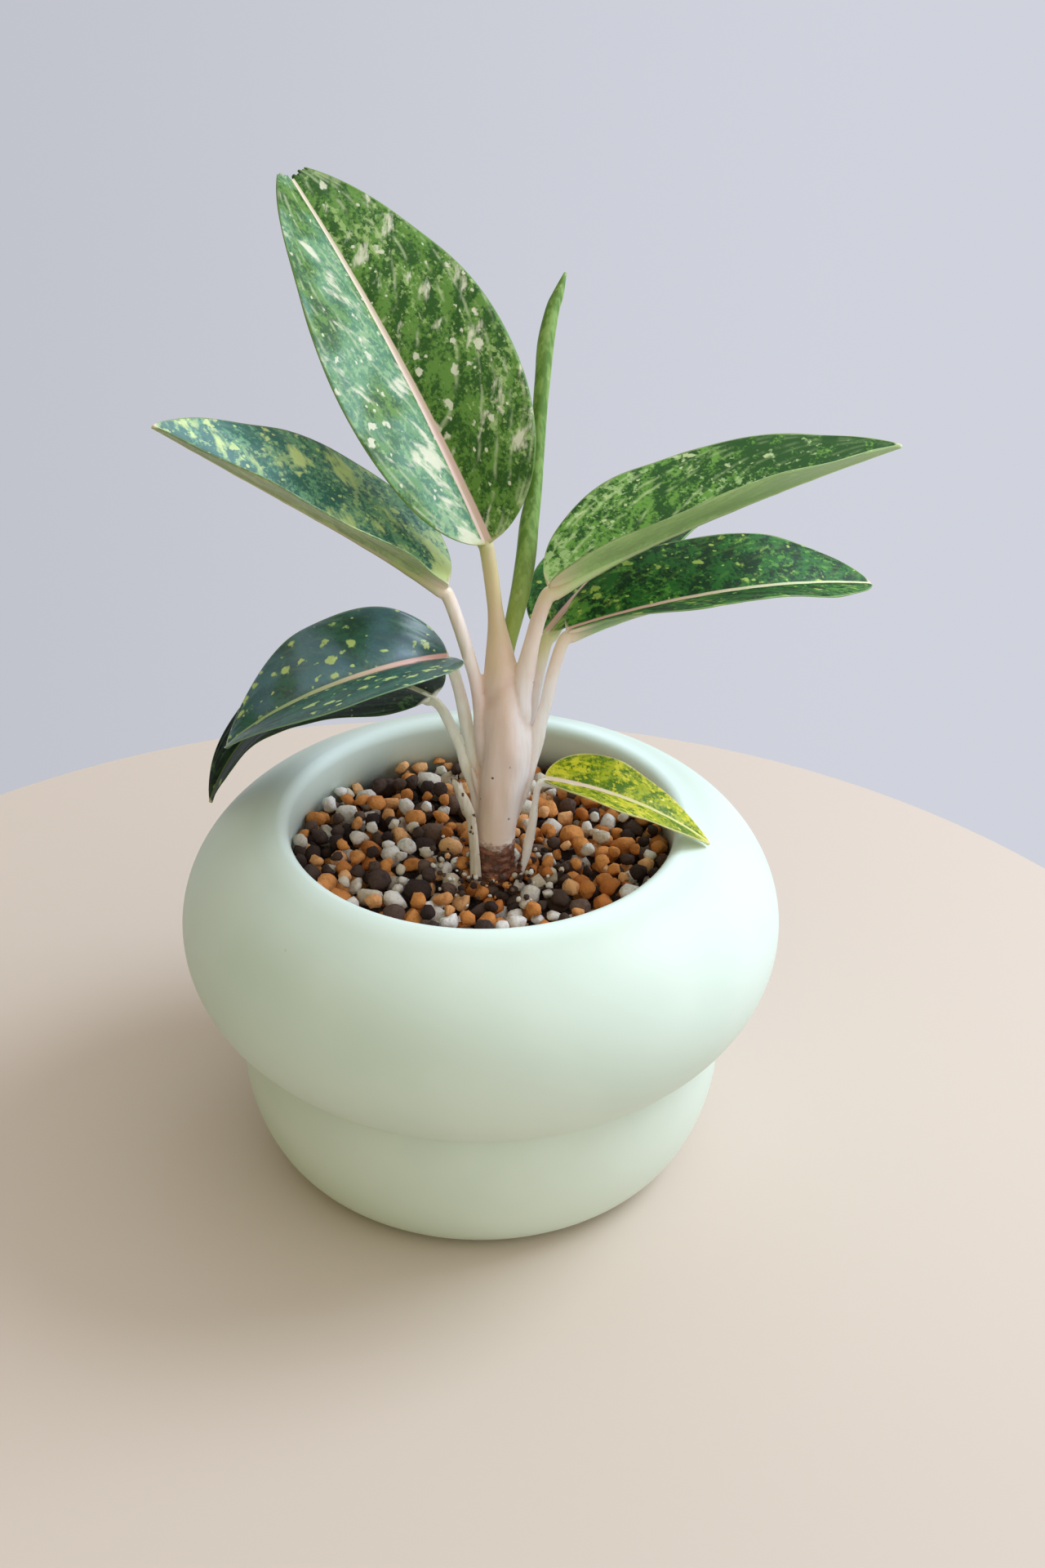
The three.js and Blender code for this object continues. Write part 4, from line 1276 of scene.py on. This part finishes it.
def pebble_shape(level, rolls, chunky):
    """A worn pebble of unit radius: a ball cut by soft facets and roughened."""
    points = ICOSPHERES[level][0].copy()
    for _ in range(PEBBLE_FACETS):
        facet = drawn_vector(rolls.gauss, 0, 1).normalized()
        depth = points @ np.array(facet) - rolls.uniform(0.52, 0.88)
        points -= chunky * np.maximum(depth, 0)[:, None] * np.array(facet)
    shift = drawn_vector(rolls.uniform, 0, 50)
    lumps = np.array([noise.noise(Vector(p) * 1.7 + shift) for p in points])
    grit = np.array([noise.noise(Vector(p) * 4.5 + shift) for p in points])
    points *= (1 + 0.24 * lumps + 0.08 * grit)[:, None]
    squash = (1.0, rolls.uniform(0.72, 1.0), rolls.uniform(0.66, 0.95))
    turn = Matrix.Rotation(rolls.uniform(0, 6.3), 3, drawn_vector(rolls.gauss, 0, 1))
    return (points * squash) @ np.array(turn).T


def icosphere(level):
    """Points and faces of a ball of unit radius."""
    ball = bmesh.new()
    bmesh.ops.create_icosphere(ball, subdivisions=level, radius=1.0)
    points = np.array([v.co for v in ball.verts])
    faces = np.array([[v.index for v in f.verts] for f in ball.faces])
    ball.free()
    return points, faces


ICOSPHERES = {level: icosphere(level) for level in (1, 2)}


def resting_height(beds, spot, radius, nearness, ground):
    """Height at which a ball rests on those under its spot, or the ground's where there are none."""
    reach = (beds[:, 3] + radius) * nearness
    apart = np.hypot(beds[:, 0] - spot[0], beds[:, 1] - spot[1])
    near = apart < reach
    if not near.any():
        return ground
    return (beds[near, 2] + np.sqrt(reach[near] ** 2 - apart[near] ** 2)).max()


def dropped_granules(rolls):
    """Places and radii of granules dropped one by one, each into the lowest of some free places."""
    beds = np.zeros((0, 4))
    for _ in range(GRANULE_COUNT):
        radius = mix(GRANULE_RADII, rolls.random() ** 1.3)
        best = None
        for _ in range(GRANULE_TRIES):
            far = math.sqrt(rolls.random()) * (OPENING_RADIUS - 0.96 * radius)
            angle = rolls.uniform(0, 2 * math.pi)
            spot = np.array([far * math.cos(angle), far * math.sin(angle)])
            if np.linalg.norm(spot - STEM_MIDDLE) < STEM_CLEARANCE + radius * 0.8:
                continue
            height = resting_height(beds, spot, radius, GRANULE_NEARNESS, BED_LEVEL)
            height = max(BED_LEVEL, height)
            if best is None or height < best[2]:
                best = (*spot, height, radius)
        if best is not None and best[2] + best[3] < TOP_LEVEL:
            beds = np.vstack([beds, best])
    return beds


def granule_material(name, kind):
    """Blotched and porous, in a tone of its own for each granule."""
    shader = Shader(f"granule_{name}", {"Roughness": kind["roughness"], "Specular IOR Level": 0.25})
    place = shader.place()
    tone = shader.attribute("tone")
    low, middle, high = kind["tints"]
    tint = shader.fade(tone, 0.0, 0.55, low, middle)
    tint = shader.fade(tone, 0.6, 1.0, tint, high)
    patches = shader.noise(place, 420.0, 3.0, 0.6)
    pores = shader.noise(place, 1500.0, 2.0)
    tint = shader.over(tint, kind["marks"], shader.band(patches, 0.5, 0.7), 0.55)
    tint = shader.over(tint, kind["marks"], shader.band(pores, 0.60, 0.7), 0.35)
    height = shader.plus(shader.times(pores, -0.5), patches)
    return shader.finished(tint, height, 0.8, 0.0005)


def add_granules():
    """Three colours of granules in one loose layer, with crumbs of the same three round the stem."""
    rolls = random.Random(7)
    beds = dropped_granules(rolls)
    names = list(GRANULE_KINDS)
    shares = [kind["share"] for kind in GRANULE_KINDS.values()]
    groups = {name: ([], [], []) for name in names}

    def put(name, place, radius, level):
        points, faces, tones = groups[name]
        shape = pebble_shape(level, rolls, GRANULE_KINDS[name]["chunky"]) * radius + place
        faces.append(ICOSPHERES[level][1] + sum(len(p) for p in points))
        points.append(shape)
        tones.append(np.full(len(shape), rolls.random()))

    for bed in beds:
        put(rolls.choices(names, shares)[0], bed[:3], bed[3] * GRANULE_SWELL, 2)
    for _ in range(CRUMB_COUNT):
        far = CRUMB_NEAREST + CRUMB_SPREAD * rolls.random() ** 1.5
        angle = rolls.uniform(0, 2 * math.pi)
        spot = (STEM_MIDDLE[0] + far * math.cos(angle), STEM_MIDDLE[1] + far * math.sin(angle))
        radius = rolls.uniform(*CRUMB_RADII)
        height = resting_height(beds, spot, radius, 1.0, BED_LEVEL + 2)
        if height + radius < TOP_LEVEL + 1:
            put(rolls.choices(names, CRUMB_SHARES)[0], np.array([*spot, height - 0.3]), radius, 1)
    for name, (points, faces, tones) in groups.items():
        material = granule_material(name, GRANULE_KINDS[name])
        piece = add_piece(f"granules_{name}", np.vstack(points), np.vstack(faces), [material])
        set_numbers(piece, "tone", np.concatenate(tones))
        settle(piece, ["substrate"])


def bed_material():
    """Dark crumbs between the granules."""
    shader = Shader("mix_bed", {"Roughness": 0.95})
    crumbs = shader.noise(shader.place(), 500.0, 4.0, 0.7)
    tint = shader.fade(crumbs, 0.4, 0.7, (36, 27, 24), (84, 62, 48))
    return shader.finished(tint, crumbs, 0.9, 0.001)


def add_bed():
    """The body of the mix under the loose granules, uneven on top."""
    side = OPENING_RADIUS - CLEARANCE
    top = [(side * k / BED_RINGS, BED_LEVEL) for k in range(BED_RINGS + 1)]
    points, faces = turned([*top, *cavity(CLEARANCE)][::-1], BED_SEGMENTS)
    for point in points:
        if point[2] > BED_LEVEL - 0.1 and math.hypot(point[0], point[1]) < side - 1:
            point[2] += BED_RELIEF * noise.noise(Vector(point) * BED_RELIEF_SCALE)
    piece = add_piece("mix_body", points, faces, [bed_material()])
    settle(piece, ["substrate"])


add_camera()
add_studio()
add_pot()
add_bed()
add_granules()
add_stalks()
for number, leaf in enumerate(LEAVES):
    add_blade(leaf, 3.7 * number + 1.3)
add_rolled_leaf()
add_dry_sheath()
